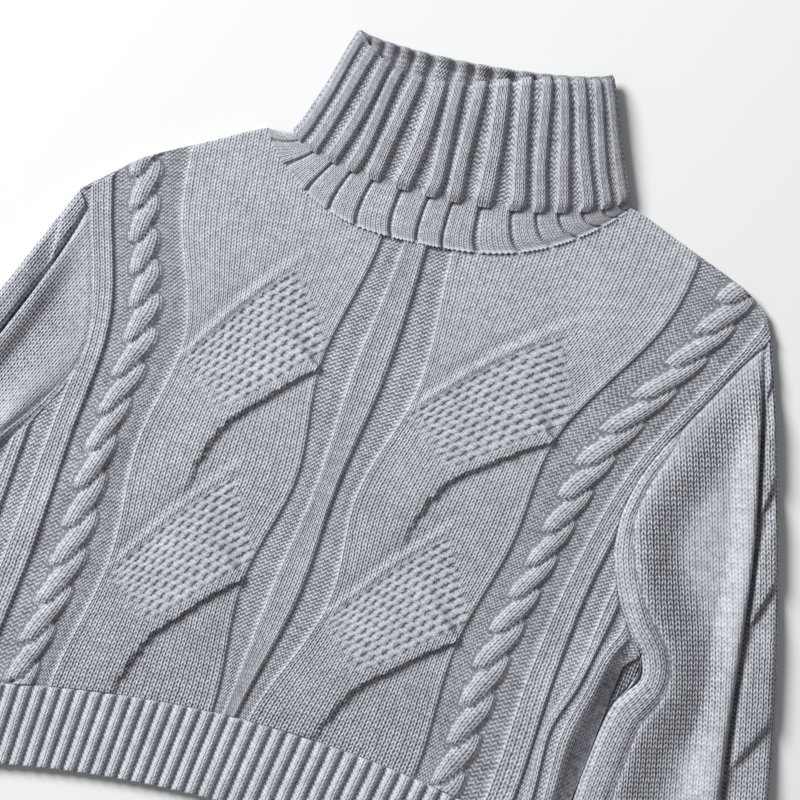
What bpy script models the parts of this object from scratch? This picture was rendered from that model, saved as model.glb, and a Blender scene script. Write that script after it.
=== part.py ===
"""A cropped cable-knit turtleneck sweater laid flat on its back.

Plan sizes are in millimetres from the middle of the neck base: +X to the sweater's own left
shoulder as it lies face up (the viewer's right), +Y towards the collar, +Z up from the surface.
The knitting itself is measured in wales (across) and courses (up from the hem rib), and the
table LAY says where each course lies. Every piece is one closed wall of knitting.
"""

import bpy
import bmesh
import numpy as np
from mathutils import Vector
from mathutils.geometry import delaunay_2d_cdt

# ---- Driving sizes, in millimetres ----
MM = 0.001
CENTRE_X = -38.0  # middle of the laid sweater, from the middle of the neck base
CENTRE_Y = -251.1
SEAM_GAP = 0.3  # clear space that parts two pieces at a seam
WALL = 2.5  # plain knitting between the cables
RIM = 1.1  # height of a rounded edge where the knitting turns down
EDGE_TURN = 2.2  # width over which an edge rounds down
FRONT_UNDER = WALL + SEAM_GAP  # the front lies on the back

# ---- Knitting: wales from the centre front, courses from the hem rib ----
WALE_MM = 2.9
COURSE_MM = 2.75
RIB_DEPTH = 18.0  # courses of hem rib
CENTRE_RIB = 2.5
PANEL_IN = 7.4  # big cable panel, its inner and outer wale
PANEL_OUT = 41.5
ROPE_MID = 49.0
ROPE_HALF = 3.4
ROPE_CROSS = 8.5  # courses from one rope crossing to the next
ROPE_START = 2.9
ROPE_SWING = 0.42  # shares of ROPE_HALF: how far a strand swings, and half its width
ROPE_STRAND = 0.62
ROPE_UNDER = 0.24  # share of its rise that the strand underneath keeps
BAND_IN = 56.3
BAND_OUT = 61.5
SIDE_RIBS = ((66.3, 69.2), (72.2, 75.0))
SIDE_WALE = 76.2
UNDERARM_WALE = 78.3
SIDE_TAPER = 0.6  # wales by which the body narrows below the underarm

# ---- Raised heights above the purl ground ----
PLAIN_RISE = 1.2
RIB_RISE = 1.9
ROPE_RISE = 4.2
STRAND_RISE = 3.6
BAND_RISE = 1.9
SIDE_WALES = 0.84  # wales over which the side of a rib, band or panel rises
STRAND_EDGE = 0.25  # share of the top strand's rise at its upper edge
DIP_DEPTH = 0.84  # how far the field sinks beside the step
DIP_SHARE = 0.3  # share of the panel over which it sinks

# Where each course lies. Columns: course, centre x, centre y, tilt in degrees, skew, arch radius,
# then the distances from the centre of wales 7.5, 41.5, 48.5, 60.5 and 76.
LAY = np.array(
    [
        (-18, -38.0, -436.0, 3.0, 0.033, 750, 13, 117, 133, 174, 210),
        (0, -33.0, -381.0, 3.2, 0.033, 750, 12, 122, 139, 182, 217),
        (30, -21.4, -292.0, 3.0, 0.000, 1150, 28.5, 116, 139.5, 179.5, 222),
        (55, -16.0, -219.4, 2.0, 0.000, 1300, 20, 126, 146.5, 180, 224),
        (80, -11.6, -147.3, 1.8, 0.030, 1300, 32, 124.5, 153.5, 186.5, 230),
        (113, -7.3, -53.5, 5.0, 0.065, 1300, 23, 163, 188.5, 223, 265),
        (140, -12.0, 18.0, 5.0, 0.090, 1300, 26, 171.5, 208, 247, 290),
    ]
)
LAY_WALES = np.array([0, 7.5, 41.5, 48.5, 60.5, 76.0])

# The fold at the viewer's-right underarm draws the side ribs in. Columns: course, millimetres that
# the first rib moves, millimetres that the second one moves.
SIDE_PULL = np.array(
    [
        (0, 4, 5),
        (10, 8, 10),
        (20, 11, 13.5),
        (30, 3.5, 10),
        (40, 0.3, 7),
        (46, 0, 1),
        (50, 0, 0),
        (60, 0, 0),
    ]
)
PULL_WALES = (61.5, 67.7, 73.6, 74.9, 75.6)  # none, first rib, second rib to its far edge, none

# Armhole seam, shoulder to underarm. Columns: course, left wale, right wale.
ARMHOLE = np.array(
    [
        (116.2, 64.6, 60.0),
        (109.5, 62.2, 58.8),
        (100, 61.5, 58.8),
        (89, 61.4, 59.1),
        (78, 60.6, 59.5),
        (69, 61.2, 60.8),
        (62, 63.8, 63.2),
        (56, 67.2, 66.6),
        (50, 71.8, 71.0),
        (43, 78.3, 78.3),
    ]
)

# Where the back reaches out under the gap at the underarm. Columns: course, wales past the front.
BACK_REACH = np.array([(27, 0), (31, 1.0), (33, 1.8), (36, 3.0), (38.5, 3.5), (41, 1.9), (43, 0)])
# Shoulder line, neck to tip. Columns: wale, course.
SHOULDER = np.array(
    [(33, 133.4), (37, 131.0), (41, 128.9), (46, 126.4), (51, 124.0), (55.5, 121.2)]
)
NECK_WALE = 29.8
NECK_COURSE = 113.8
NECK_RISE = 21.0
NECK_POWER = 3.2
BACK_NECK_DIP = 5.5  # courses that the back neck falls below the shoulder points

# The two crossings of the big cable: course of the outer corner of the strand that lies on top.
CROSSINGS = (80.0, 30.4)
# The step along the top strand's lower edge. Columns: courses below the corner, share of the panel.
STEP = np.array(
    [
        (0, 1.0),
        (2.6, 0.9),
        (5.4, 0.8),
        (8.7, 0.7),
        (12, 0.6),
        (15.6, 0.5),
        (18, 0.46),
        (22, 0.445),
        (31, 0.43),
    ]
)
STRAND_TIP = 0.53  # share of the panel where the top strand's upper edge begins
STRAND_TIP_UP = 20.0  # courses from that tip down to the corner
STRAND_FOOT = 3.5  # courses below the corner where the upper edge meets the panel's side
STRAND_LEVEL = 15.0  # courses below the corner where the strand starts to sink
STRAND_SINK = 17.0  # courses over which it sinks to the plain field

# Sleeves, shoulder to cuff seam, outer edge then inner edge. Columns: outer x, y, inner x, y.
SLEEVE_RIGHT = np.array(
    [
        (233, -46, 216, -268),
        (247, -84, 216.5, -273.5),
        (260, -124, 215, -281),
        (273, -165, 208.5, -291),
        (286, -208, 201.5, -304),
        (302, -267, 197.5, -332),
        (317, -330, 195.5, -370),
        (331, -395, 198, -420),
        (344, -458, 219, -474),
        (355, -518, 256, -530),
    ]
)
SLEEVE_LEFT = np.array(
    [
        (-226, -85, -247, -287),
        (-240, -121, -250, -292),
        (-256, -162, -251, -300),
        (-273, -203, -252.5, -313),
        (-292, -243, -251.5, -330),
        (-316, -293, -251, -356),
        (-342, -348, -256, -392),
        (-369, -404, -271, -436),
        (-396, -460, -298, -486),
        (-420, -514, -325, -538),
    ]
)
CUFF_RIGHT = (366, -572, 270, -586)
CUFF_LEFT = (-442, -566, -352, -590)
# Width of the sleeve's outer cable that shows in front. Columns: share of the length, width.
SLEEVE_CABLE = np.array([(0, 6), (0.12, 13), (0.3, 20), (0.6, 30), (1, 34)])
# Shares across a sleeve, outer edge to inner edge, where its sections have their points.
SLEEVE_MARKS = np.array(
    [0, 0.02, 0.06, 0.12, 0.18, 0.24, 0.3, 0.38, 0.46, 0.55, 0.66, 0.77, 0.86, 0.93, 0.98, 1]
)
SLEEVE_ROWS = 17
SLEEVE_TURN = 5.0  # width over which a sleeve's edge rounds down
SLEEVE_SETTLE = 0.14  # share of the length over which its sections leave the armhole's points
SLEEVE_CLEAR = 0.6  # between the armhole edges and the sleeve's head, in plan
GROOVE_HALF = 3.0  # half width of the purl groove beside the sleeve's cable
SLEEVE_RIDGE = 31.0  # soft folds, from the outer edge
SLEEVE_VALLEY = 58.0
SLEEVE_INNER_RIDGE = 17.0  # from the inner edge
SLEEVE_FOLD = 5.0  # height of those folds
SLEEVE_SPREAD = 15.0  # half width of a fold
INNER_FOLD = 0.75  # share of the height that the inner one has
FOLD_START = 0.3  # shares of the length over which the folds come and go
FOLD_END = 0.2
UNDER_LIFT = 1.2  # how far a sleeve's edge turns up off the surface
UNDER_FOLD = 0.5  # share of a fold that the layer below follows
CABLE_RISE = 2.0
SLEEVE_CROSS = 86.0  # millimetres from one crossing of the sleeve cable to the next

# The collar's height marks. Columns: share of height, left x, y, right x, y, front sag, back sag.
COLLAR = np.array(
    [
        (0.0, -121, -12, 119.5, 12, 51, -6),
        (0.26, -105, -7, 118, 15, 23.5, -4),
        (0.55, -95, 19, 105.5, 40, 21.5, 3),
        (1.0, -83, 68, 84.5, 88, 19, 9),
    ]
)
# The folded wall, once round its section. Columns: share of height, inset at the sides,
# front z, back z, share of the rib's rise.
COLLAR_WALL = np.array(
    [
        (0.000, 0.4, 5.9, 0.0, 0.5),
        (0.100, 1.5, 7.4, 1.8, 0.5),
        (0.245, 3.6, 9.3, 3.5, 0.4),
        (0.900, 3.6, 11.6, 3.9, 0.0),
        (0.930, 3.4, 11.9, 3.7, 0.0),
        (0.900, 3.2, 12.2, 3.5, 0.0),
        (0.275, 3.2, 10.0, 3.1, 0.0),
        (0.255, 1.6, 11.2, 1.6, 0.6),
        (0.290, 0.0, 13.4, 0.0, 1.0),
        (0.560, 0.0, 15.2, 0.0, 1.0),
        (0.880, 0.0, 15.8, 0.0, 1.0),
        (0.975, 0.6, 15.0, 0.8, 0.8),
        (1.000, 2.0, 12.6, 3.2, 0.4),
        (0.980, 4.6, 10.2, 5.4, 0.2),
        (0.900, 6.2, 9.2, 6.3, 0.0),
        (0.245, 6.2, 6.5, 6.1, 0.0),
        (0.100, 4.1, 4.9, 4.3, 0.0),
        (0.000, 3.0, 3.2, 2.5, 0.0),
    ]
)
NECK_CLEAR = 0.6  # between the neck edge and the foot of the collar, in plan
NECK_SHARE = 0.24  # share of the collar's height over which it takes the neck edge's curve
COLLAR_BACK_POINTS = 12
COLLAR_SPREAD = 0.45  # how far its ribs crowd towards the sides
NECK_SHIFT = 3.8  # wales by which the middle of the collar sits off the centre of the front
COLLAR_SAG = 1.3  # powers that shape the section: how its edges sag between the sides,
COLLAR_TOP = 0.45  # how full it is above and below its middle,
COLLAR_UNDER = 0.4
COLLAR_FADE = 0.5  # and how the ribs fade at the sides
COLLAR_RIBS = 15  # across the front
COLLAR_RIB_RISE = 2.4
HEM_RIBS = 46
HEM_RIB_PITCH = 9.0
WELT_TURN = 1.4  # width over which the welt's edges round down
HEM_END_CLEAR = 3.0  # kept clear of points at the ends of the hem rib
CUFF_RIBS = 10
CUFF_TURN = 0.03  # share of the cuff's length in its rounded ends
CUFF_TRIM = 0.45  # how far those ends round down
RIB_MARKS = (0.08, 0.36, 0.64, 0.92)  # shares of a rib's pitch where its section turns
RIB_FLANKS = (0.22, 0.78)  # shares of the pitch at half height on either side of a rib
RIB_FLANK = 0.3  # share of the pitch that a side takes
HEM_RIB_RISE = 2.2

KNIT_COLOR = (0.39, 0.40, 0.43, 1.0)


# ---- Curves through the tables ----
def through(table, column, at):
    """Smooth value of one column of a table at a place along its first column."""
    places = table[:, 0].astype(float)
    order = np.argsort(places)
    places = places[order]
    values = table[order, column].astype(float)
    slopes = np.gradient(values, places)
    at = np.clip(at, places[0], places[-1])
    row = np.clip(np.searchsorted(places, at, side="right") - 1, 0, len(places) - 2)
    span = places[row + 1] - places[row]
    t = (at - places[row]) / span
    rise = (3 - 2 * t) * t * t
    leaving = t * (1 - t) ** 2 * span * slopes[row]
    arriving = t * t * (t - 1) * span * slopes[row + 1]
    return values[row] + (values[row + 1] - values[row]) * rise + leaving + arriving


def soft_step(x):
    x = np.clip(x, 0.0, 1.0)
    return x * x * (3 - 2 * x)


def plateau(x, low, high, edge):
    """1 between low and high, falling to 0 over edge on each side."""
    return np.clip((x - low) / edge + 0.5, 0, 1) * np.clip((high - x) / edge + 0.5, 0, 1)


# ---- Where the knitting lies ----
def on_course(course, distance):
    """Plan point at a signed distance from the centre front, along a course's arch."""
    tilt = np.radians(through(LAY, 3, course))
    radius = through(LAY, 5, course)
    turned = tilt - distance / radius
    x = through(LAY, 1, course) + radius * (np.sin(tilt) - np.sin(turned))
    y = through(LAY, 2, course) + radius * (np.cos(turned) - np.cos(tilt))
    return np.stack([x, y], -1)


def lay(wale, course):
    """Plan point of a wale and course, in millimetres from the middle of the neck base."""
    wale, course = np.broadcast_arrays(np.asarray(wale, float), np.asarray(course, float))
    marks = np.stack([0 * course] + [through(LAY, k, course) for k in range(6, 11)])
    part = np.clip(np.searchsorted(LAY_WALES, np.abs(wale), side="right") - 1, 0, len(LAY_WALES) - 2)
    near = np.take_along_axis(marks, part[None], 0)[0]
    far = np.take_along_axis(marks, part[None] + 1, 0)[0]
    share = (np.abs(wale) - LAY_WALES[part]) / (LAY_WALES[part + 1] - LAY_WALES[part])
    skew = through(LAY, 4, course) * np.sign(wale)
    pull = through(SIDE_PULL, 1, course) * np.interp(wale, PULL_WALES, (0, 1, 0, 0, 0))
    pull = pull + through(SIDE_PULL, 2, course) * np.interp(wale, PULL_WALES, (0, 0, 1, 1, 0))
    return on_course(course, (near + (far - near) * share) * (1 + skew) * np.sign(wale) - pull)


def neck_course(wale):
    return NECK_COURSE + NECK_RISE * np.abs(np.asarray(wale, float) / NECK_WALE) ** NECK_POWER


def back_neck_course(wale):
    return neck_course(NECK_WALE) - BACK_NECK_DIP * (1 - (np.asarray(wale, float) / NECK_WALE) ** 4)


# ---- Relief of the front ----
def rope(wale, course):
    """Two strands that cross every ROPE_CROSS courses, the one on top running up to the right."""
    across = (np.abs(wale) - ROPE_MID) * np.sign(wale) / ROPE_HALF
    turn = np.pi * (course - ROPE_START) / ROPE_CROSS
    height = np.zeros_like(across)
    for strand in (0, 1):
        middle = -ROPE_SWING * np.cos(turn + np.pi * strand)
        level = (1 + ROPE_UNDER + (1 - ROPE_UNDER) * np.sin(turn + np.pi * strand)) / 2
        round_top = np.sqrt(np.clip(1 - ((across - middle) / ROPE_STRAND) ** 2, 0, 1))
        height = np.maximum(height, level * round_top)
    return ROPE_RISE * height


def panel_share(wale):
    """Share of the big cable panel from its viewer's-left edge, on either side of the front."""
    width = PANEL_OUT - PANEL_IN
    return np.where(wale < 0, (wale + PANEL_OUT) / width, (wale - PANEL_IN) / width)


def step_share(below):
    return np.interp(below, STEP[:, 0], STEP[:, 1])


def crossing(share, course):
    """The top strand of each crossing: soft along its upper edge, a step along its lower one."""
    height = np.zeros_like(share)
    for corner in CROSSINGS:
        below = corner - course
        upper = STRAND_TIP * (STRAND_FOOT - below) / (STRAND_FOOT + STRAND_TIP_UP)
        upper = np.clip(upper, 0, STRAND_TIP)
        fade_edge = 1.0 + (STRAND_TIP - 1.0) * np.clip(-below / STRAND_TIP_UP, 0, 1)
        lower = np.where(below > 0, step_share(below), fade_edge)
        place = np.clip((share - upper) / np.maximum(lower - upper, 0.02), 0, 1)
        come = soft_step((below + STRAND_TIP_UP) / (STRAND_TIP_UP + 4))
        go = 1 - soft_step((below - STRAND_LEVEL) / STRAND_SINK)
        on_top = (share <= lower) & (share >= upper)
        lift = come * go * (STRAND_EDGE + (1 - STRAND_EDGE) * soft_step(place))
        height += np.where(on_top, STRAND_RISE * lift, 0)
        beside = np.clip((share - lower) / DIP_SHARE, 0, 1)
        dip = np.where((below > 0) & (share > lower), go * (1 - soft_step(beside)), 0)
        height -= DIP_DEPTH * dip
    return height


def front_relief(wale, course):
    wale, course = np.broadcast_arrays(np.asarray(wale, float), np.asarray(course, float))
    side = np.abs(wale)
    height = RIB_RISE * plateau(side, -CENTRE_RIB, CENTRE_RIB, SIDE_WALES)
    in_panel = plateau(side, PANEL_IN, PANEL_OUT, SIDE_WALES)
    height = height + in_panel * (PLAIN_RISE + crossing(panel_share(wale), course))
    in_rope = np.abs(side - ROPE_MID) < ROPE_HALF * (ROPE_SWING + ROPE_STRAND)
    height = height + np.where(in_rope, rope(wale, course), 0)
    height = height + BAND_RISE * plateau(side, BAND_IN, BAND_OUT, SIDE_WALES)
    for low, high in SIDE_RIBS:
        height = height + RIB_RISE * plateau(side, low, high, SIDE_WALES)
    return height


# ---- Solids ----
POINT_CLEAR = 1.6  # least distance of a wall's inner points from its rim and feature lines
LOWER_CLEAR = 12.0  # the same for the few points of a plain underside
LOWER_POINTS = 7  # of those, along each side of the piece's box


def finish(name, verts, faces):
    """A mesh object of one closed wall, its faces turned outwards, with its own knit material."""
    shifted = np.asarray(verts, float) - (CENTRE_X, CENTRE_Y, 0)
    mesh = bpy.data.meshes.new(name)
    mesh.from_pydata([tuple(p) for p in shifted * MM], [], [tuple(int(i) for i in f) for f in faces])
    work = bmesh.new()
    work.from_mesh(mesh)
    bmesh.ops.triangulate(work, faces=work.faces)
    bmesh.ops.recalc_face_normals(work, faces=work.faces)
    work.to_mesh(mesh)
    work.free()
    mesh.shade_smooth()
    mesh.set_sharp_from_angle(angle=0.9)
    material = bpy.data.materials.new(name + "_knit")
    material.use_nodes = True
    shader = material.node_tree.nodes["Principled BSDF"]
    shader.inputs["Base Color"].default_value = KNIT_COLOR
    shader.inputs["Roughness"].default_value = 0.95
    mesh.materials.append(material)
    item = bpy.data.objects.new(name, mesh)
    bpy.context.scene.collection.objects.link(item)
    return item


def zip_loops(first, second):
    """Triangles between two closed loops of (index, place from 0 to 1), both running the same way."""
    faces = []
    a = b = 0
    while a < len(first) or b < len(second):
        next_a = first[(a + 1) % len(first)][1] + (a + 1) // len(first)
        next_b = second[(b + 1) % len(second)][1] + (b + 1) // len(second)
        here, there = first[a % len(first)][0], second[b % len(second)][0]
        if b >= len(second) or (a < len(first) and next_a <= next_b):
            faces.append((here, first[(a + 1) % len(first)][0], there))
            a += 1
        else:
            faces.append((here, second[(b + 1) % len(second)][0], there))
            b += 1
    return faces


def inside(points, loop):
    """Which points lie inside a closed loop."""
    ends = np.roll(loop, -1, axis=0)
    px, py = points[:, 0:1], points[:, 1:2]
    crosses = (loop[:, 1] > py) != (ends[:, 1] > py)
    rise = np.where(ends[:, 1] == loop[:, 1], 1.0, ends[:, 1] - loop[:, 1])
    at = loop[:, 0] + (py - loop[:, 1]) * (ends[:, 0] - loop[:, 0]) / rise
    return (crosses & (px < at)).sum(1) % 2 == 1


def distance_to(points, line):
    """Distance of each point from the nearest stretch of a line of points."""
    starts, runs = line[:-1], np.diff(line, axis=0)
    offset = points[:, None] - starts[None]
    along = (offset * runs).sum(-1) / np.maximum((runs**2).sum(-1), 1e-9)
    nearest = starts + np.clip(along, 0, 1)[..., None] * runs
    return np.linalg.norm(points[:, None] - nearest, axis=-1).min(1)


def left_of(runs):
    """Unit directions a quarter turn to the left of each run."""
    return np.stack([-runs[:, 1], runs[:, 0]], -1) / np.linalg.norm(runs, axis=1)[:, None]


def inset(loop, width):
    """A counter-clockwise closed loop moved in by width."""
    before, after = np.roll(loop, 1, axis=0), np.roll(loop, -1, axis=0)
    both = left_of(loop - before) + left_of(after - loop)
    return loop + width * both / np.maximum((both**2).sum(1) / 2, 0.6)[:, None]


def triangles(points, edges):
    result = delaunay_2d_cdt([Vector(p) for p in points], edges, [], 1, 1e-6)
    return np.array([tuple(v) for v in result[0]]), [tuple(f) for f in result[2]]


def panel(name, loop, inner, lines, place, top, under, turned_edge, skip=1):
    """A wall laid on a plane: a relief over a plain underside, with a rounded rim.

    loop, inner and lines are in the piece's own flat plan, place maps that plan to the sweater's,
    top gives the height above the underside, and every skip-th point of the loop bounds it."""
    ring = inset(loop, turned_edge)
    blocked = np.concatenate([ring, ring[:1]])
    keep = inside(inner, ring) & (distance_to(inner, blocked) > POINT_CLEAR)
    inner = inner[keep]
    points, edges = [loop, ring], []
    count = len(loop)
    for start in (0, count):
        edges += [(start + i, start + (i + 1) % count) for i in range(count)]
    at = 2 * count
    for line in lines:
        clear = np.flatnonzero(inside(line, ring) & (distance_to(line, blocked) > POINT_CLEAR / 2))
        for stretch in np.split(clear, np.flatnonzero(np.diff(clear) > 1) + 1):
            if len(stretch) < 2:
                continue
            inner = inner[distance_to(inner, line[stretch]) > POINT_CLEAR]
            points.append(line[stretch])
            edges += [(at + i, at + i + 1) for i in range(len(stretch) - 1)]
            at += len(stretch)
    points.append(inner)
    upper, upper_faces = triangles(np.concatenate(points), edges)
    gap = np.linalg.norm(upper[:, None] - loop[None], axis=-1)
    on_rim = gap.min(1) < 1e-4
    height = np.where(on_rim, RIM, top(upper))
    verts = [np.column_stack([place(upper), under + height])]
    faces = list(upper_faces)
    top_index = [int(i) for i in gap.argmin(0)]
    coarse = list(range(0, count, skip))
    low_loop = loop[coarse]
    span = loop.max(0) - loop.min(0)
    sparse = np.stack(np.meshgrid(*[np.linspace(0.1, 0.9, LOWER_POINTS)] * 2), -1).reshape(-1, 2)
    sparse = loop.min(0) + sparse * span
    closed = np.concatenate([low_loop, low_loop[:1]])
    sparse = sparse[inside(sparse, low_loop) & (distance_to(sparse, closed) > LOWER_CLEAR)]
    low_edges = [(i, (i + 1) % len(coarse)) for i in range(len(coarse))]
    lower, lower_faces = triangles(np.concatenate([low_loop, sparse]), low_edges)
    first = len(upper)
    verts.append(np.column_stack([place(lower), np.full(len(lower), under)]))
    faces += [tuple(first + i for i in reversed(f)) for f in lower_faces]
    low_gap = np.linalg.norm(lower[:, None] - low_loop[None], axis=-1).argmin(0)
    top_ring = [(top_index[i], i / count) for i in range(count)]
    low_ring = [(first + int(low_gap[k]), i / count) for k, i in enumerate(coarse)]
    faces += zip_loops(top_ring, low_ring)
    return finish(name, np.concatenate(verts), faces)


def ringed(name, rings, closed):
    """A wall from rings of points with equal counts: a tube's skin, or round and round if closed."""
    rings = np.asarray(rings, float)
    rows, count = rings.shape[:2]
    faces = []
    for row in range(rows if closed else rows - 1):
        for i in range(count):
            j, after = (i + 1) % count, (row + 1) % rows
            faces.append((row * count + i, row * count + j, after * count + j, after * count + i))
    return finish(name, rings.reshape(-1, 3), faces)


# ---- Front and back ----
def armhole(side, share):
    """Armhole seam of one side, in wales and courses, at shares from the shoulder to the underarm."""
    course = ARMHOLE[0, 0] + (ARMHOLE[-1, 0] - ARMHOLE[0, 0]) * np.asarray(share, float)
    return np.stack([side * through(ARMHOLE, 2 if side > 0 else 1, course), course], -1)


def body_outline(back):
    """Counter-clockwise outline of the front or back above its hem rib, in wales and courses."""
    bottom = np.linspace(-SIDE_WALE, SIDE_WALE, 41)
    outline = [np.stack([bottom, 0 * bottom], -1)]
    side = np.array([6, 12.5, 19, 25.5, 31, 33, 36, 38.5, 41])
    edge = SIDE_WALE - SIDE_TAPER * np.clip((side - 6) / 26, 0, 1)
    edge = edge + (UNDERARM_WALE - edge[-1]) * soft_step((side - 38.5) / 4.5)
    if back:
        edge = edge + through(BACK_REACH, 1, side)
    outline.append(np.stack([edge, side], -1))
    outline.append(armhole(1, SLEEVE_MARKS)[::-1])
    outline.append(SHOULDER[::-1])
    neck = np.linspace(NECK_WALE, -NECK_WALE, 25)
    outline.append(np.stack([neck, back_neck_course(neck) if back else neck_course(neck)], -1))
    outline.append(SHOULDER * (-1, 1))
    outline.append(armhole(-1, SLEEVE_MARKS))
    outline.append(np.stack([-edge, side], -1)[::-1])
    return np.concatenate(outline)


FLAT = np.array([WALE_MM, COURSE_MM])


def body_place(points):
    return lay(points[:, 0] / WALE_MM, points[:, 1] / COURSE_MM)


def column(wales, low, high, step):
    courses = np.arange(low, high, step)
    return np.stack(np.meshgrid(wales, courses), -1).reshape(-1, 2)


def front_points():
    """Points where the front's relief turns: along the rope strands and over the plain fields."""
    rope_wales = ROPE_MID + ROPE_HALF * np.array([-1.12, -0.82, -0.42, 0, 0.42, 0.82, 1.12])
    field = np.linspace(PANEL_IN + 4, PANEL_OUT - 4, 7)
    points = []
    for side in (-1, 1):
        points.append(column(side * rope_wales, ROPE_START, 127, ROPE_CROSS / 3))
        points.append(column(side * field, 3, 134, 6.2))
    return np.concatenate(points) * FLAT


def front_lines():
    """Lines that the relief turns on: both edges of each rib and band, and of each top strand."""
    turn = SIDE_WALES / 2
    marks = [0.0, CENTRE_RIB - turn, CENTRE_RIB + turn, PANEL_IN - turn, PANEL_IN + turn]
    marks += [PANEL_OUT - turn, PANEL_OUT + turn, BAND_IN - turn, BAND_IN + turn]
    marks += [BAND_OUT - turn, BAND_OUT + turn]
    side_marks = [edge + offset for edge in np.ravel(SIDE_RIBS) for offset in (-turn, turn)]
    lines = []
    for side in (-1, 1):
        for mark in marks[1 if side < 0 else 0 :]:
            lines.append(column([side * mark], 2.5, 136, 12) * FLAT)
        for mark in side_marks:
            lines.append(column([side * mark], 2.5, 66, 6) * FLAT)
    below = np.linspace(1.2, 27, 13)
    above = np.linspace(0.08, 0.97, 9)
    width = PANEL_OUT - PANEL_IN
    for start in (-PANEL_OUT, PANEL_IN):
        for corner in CROSSINGS:
            edge = start + width * step_share(below)
            for offset in (-turn, turn):
                lines.append(np.stack([edge + offset, corner - below], -1) * FLAT)
            rise = corner - STRAND_FOOT + (STRAND_FOOT + STRAND_TIP_UP) * above
            for offset in (-turn, turn):
                upper = start + width * STRAND_TIP * above + offset
                lines.append(np.stack([upper, rise], -1) * FLAT)
    return lines


def build_body():
    def relief(points):
        return WALL + front_relief(points[:, 0] / WALE_MM, points[:, 1] / COURSE_MM)

    def plain(points):
        return np.full(len(points), WALL)

    front, back = body_outline(False) * FLAT, body_outline(True) * FLAT
    panel("front_panel", front, front_points(), front_lines(), body_place, relief, FRONT_UNDER, EDGE_TURN)
    few = column([-PANEL_OUT, 0, PANEL_OUT], CROSSINGS[1], NECK_COURSE, 35) * FLAT
    panel("back_panel", back, few, [], body_place, plain, 0.0, EDGE_TURN)


# ---- Hem rib ----
def build_hem():
    """The deep rib under the front and back: ribs run down, evenly spaced along the hem."""
    low, high = -RIB_DEPTH * COURSE_MM, -SEAM_GAP
    half = HEM_RIBS / 2
    pitch = HEM_RIB_PITCH

    def place(points):
        course = points[:, 1] / COURSE_MM
        share = points[:, 0] / (half * pitch)
        skew = through(LAY, 4, course) * np.sign(share)
        return on_course(course, share * through(LAY, 10, course) * (1 + skew))

    def ribbed(points):
        turn = (points[:, 0] / pitch) % 1
        return WALL + HEM_RIB_RISE * plateau(turn, *RIB_FLANKS, RIB_FLANK)

    def plain(points):
        return np.full(len(points), WALL)

    for name, height, under, marks, skip in (
        ("front_hem_rib", ribbed, FRONT_UNDER, RIB_MARKS, 4),
        ("back_hem_rib", plain, 0.0, (0.0,), 1),
    ):
        across = (np.arange(-half, half)[:, None] + np.array(marks)).ravel() * pitch
        across = across[:: 1 if len(marks) > 1 else 3]
        across = across[np.abs(across) < half * pitch - HEM_END_CLEAR]
        across = np.concatenate([[-half * pitch], across, [half * pitch]])
        foot = np.stack([across, 0 * across + low], -1)
        head = np.stack([across[::-1], 0 * across + high], -1)
        side = np.array([(half * pitch, low / 2)])
        loop = np.concatenate([foot, side, head, side * (-1, 1)])
        none = np.empty((0, 2))
        panel(name, loop, none, [], place, height, under, WELT_TURN, skip)


# ---- Sleeves and cuffs ----
def sleeve_plan(table, side, across, along):
    """Plan points of a sleeve: across runs 0 to 1 from the outer edge, along 0 to 1 to the cuff."""
    rows = np.linspace(0, 1, len(table))
    marked = np.column_stack([rows, table])
    ends = [through(marked, k, along) for k in range(1, 5)]
    outer, inner = np.stack(ends[:2], -1), np.stack(ends[2:], -1)
    straight = outer + (inner - outer) * across[..., None]
    ahead, behind, seam = (armhole(side, across + e) for e in (0.002, -0.002, 0.0))
    on_seam = lay(*seam.T) + side * SLEEVE_CLEAR * left_of(lay(*ahead.T) - lay(*behind.T))
    chord = table[0, :2] + (table[0, 2:] - table[0, :2]) * across[..., None]
    fade = np.clip(1 - along / 0.5, 0, 1) ** 2
    return straight + (on_seam - chord) * fade[..., None]


def sleeve_marks(width, groove, share):
    """Shares across a sleeve: those of the armhole at its head, then on its groove and folds."""
    middle = (SLEEVE_VALLEY + width - SLEEVE_INNER_RIDGE) / 2
    places = np.array(
        [
            0,
            0.02 * width,
            0.3 * groove,
            groove - 1.7 * GROOVE_HALF,
            groove - 0.7 * GROOVE_HALF,
            groove,
            groove + 0.7 * GROOVE_HALF,
            groove + 2 * GROOVE_HALF,
            max(SLEEVE_RIDGE, groove + 3 * GROOVE_HALF) + 4,
            SLEEVE_VALLEY,
            middle,
            width - 1.8 * SLEEVE_INNER_RIDGE,
            width - SLEEVE_INNER_RIDGE,
            width - SLEEVE_TURN,
            width - 0.25 * SLEEVE_TURN,
            width,
        ]
    )
    settle = soft_step(share / SLEEVE_SETTLE)
    return SLEEVE_MARKS + (np.sort(places) / width - SLEEVE_MARKS) * settle


def sleeve_fold(from_outer, from_inner, along):
    """Soft lengthwise folds of the laid sleeve: a ridge, a valley and a ridge, flat at its ends."""
    ridge = np.exp(-(((from_outer - SLEEVE_RIDGE) / SLEEVE_SPREAD) ** 2))
    inner_ridge = np.exp(-(((from_inner - SLEEVE_INNER_RIDGE) / SLEEVE_SPREAD) ** 2))
    ends = soft_step(along / FOLD_START) * soft_step((1 - along) / FOLD_END)
    return SLEEVE_FOLD * ends * np.clip(ridge + INNER_FOLD * inner_ridge, 0, 1)


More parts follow.
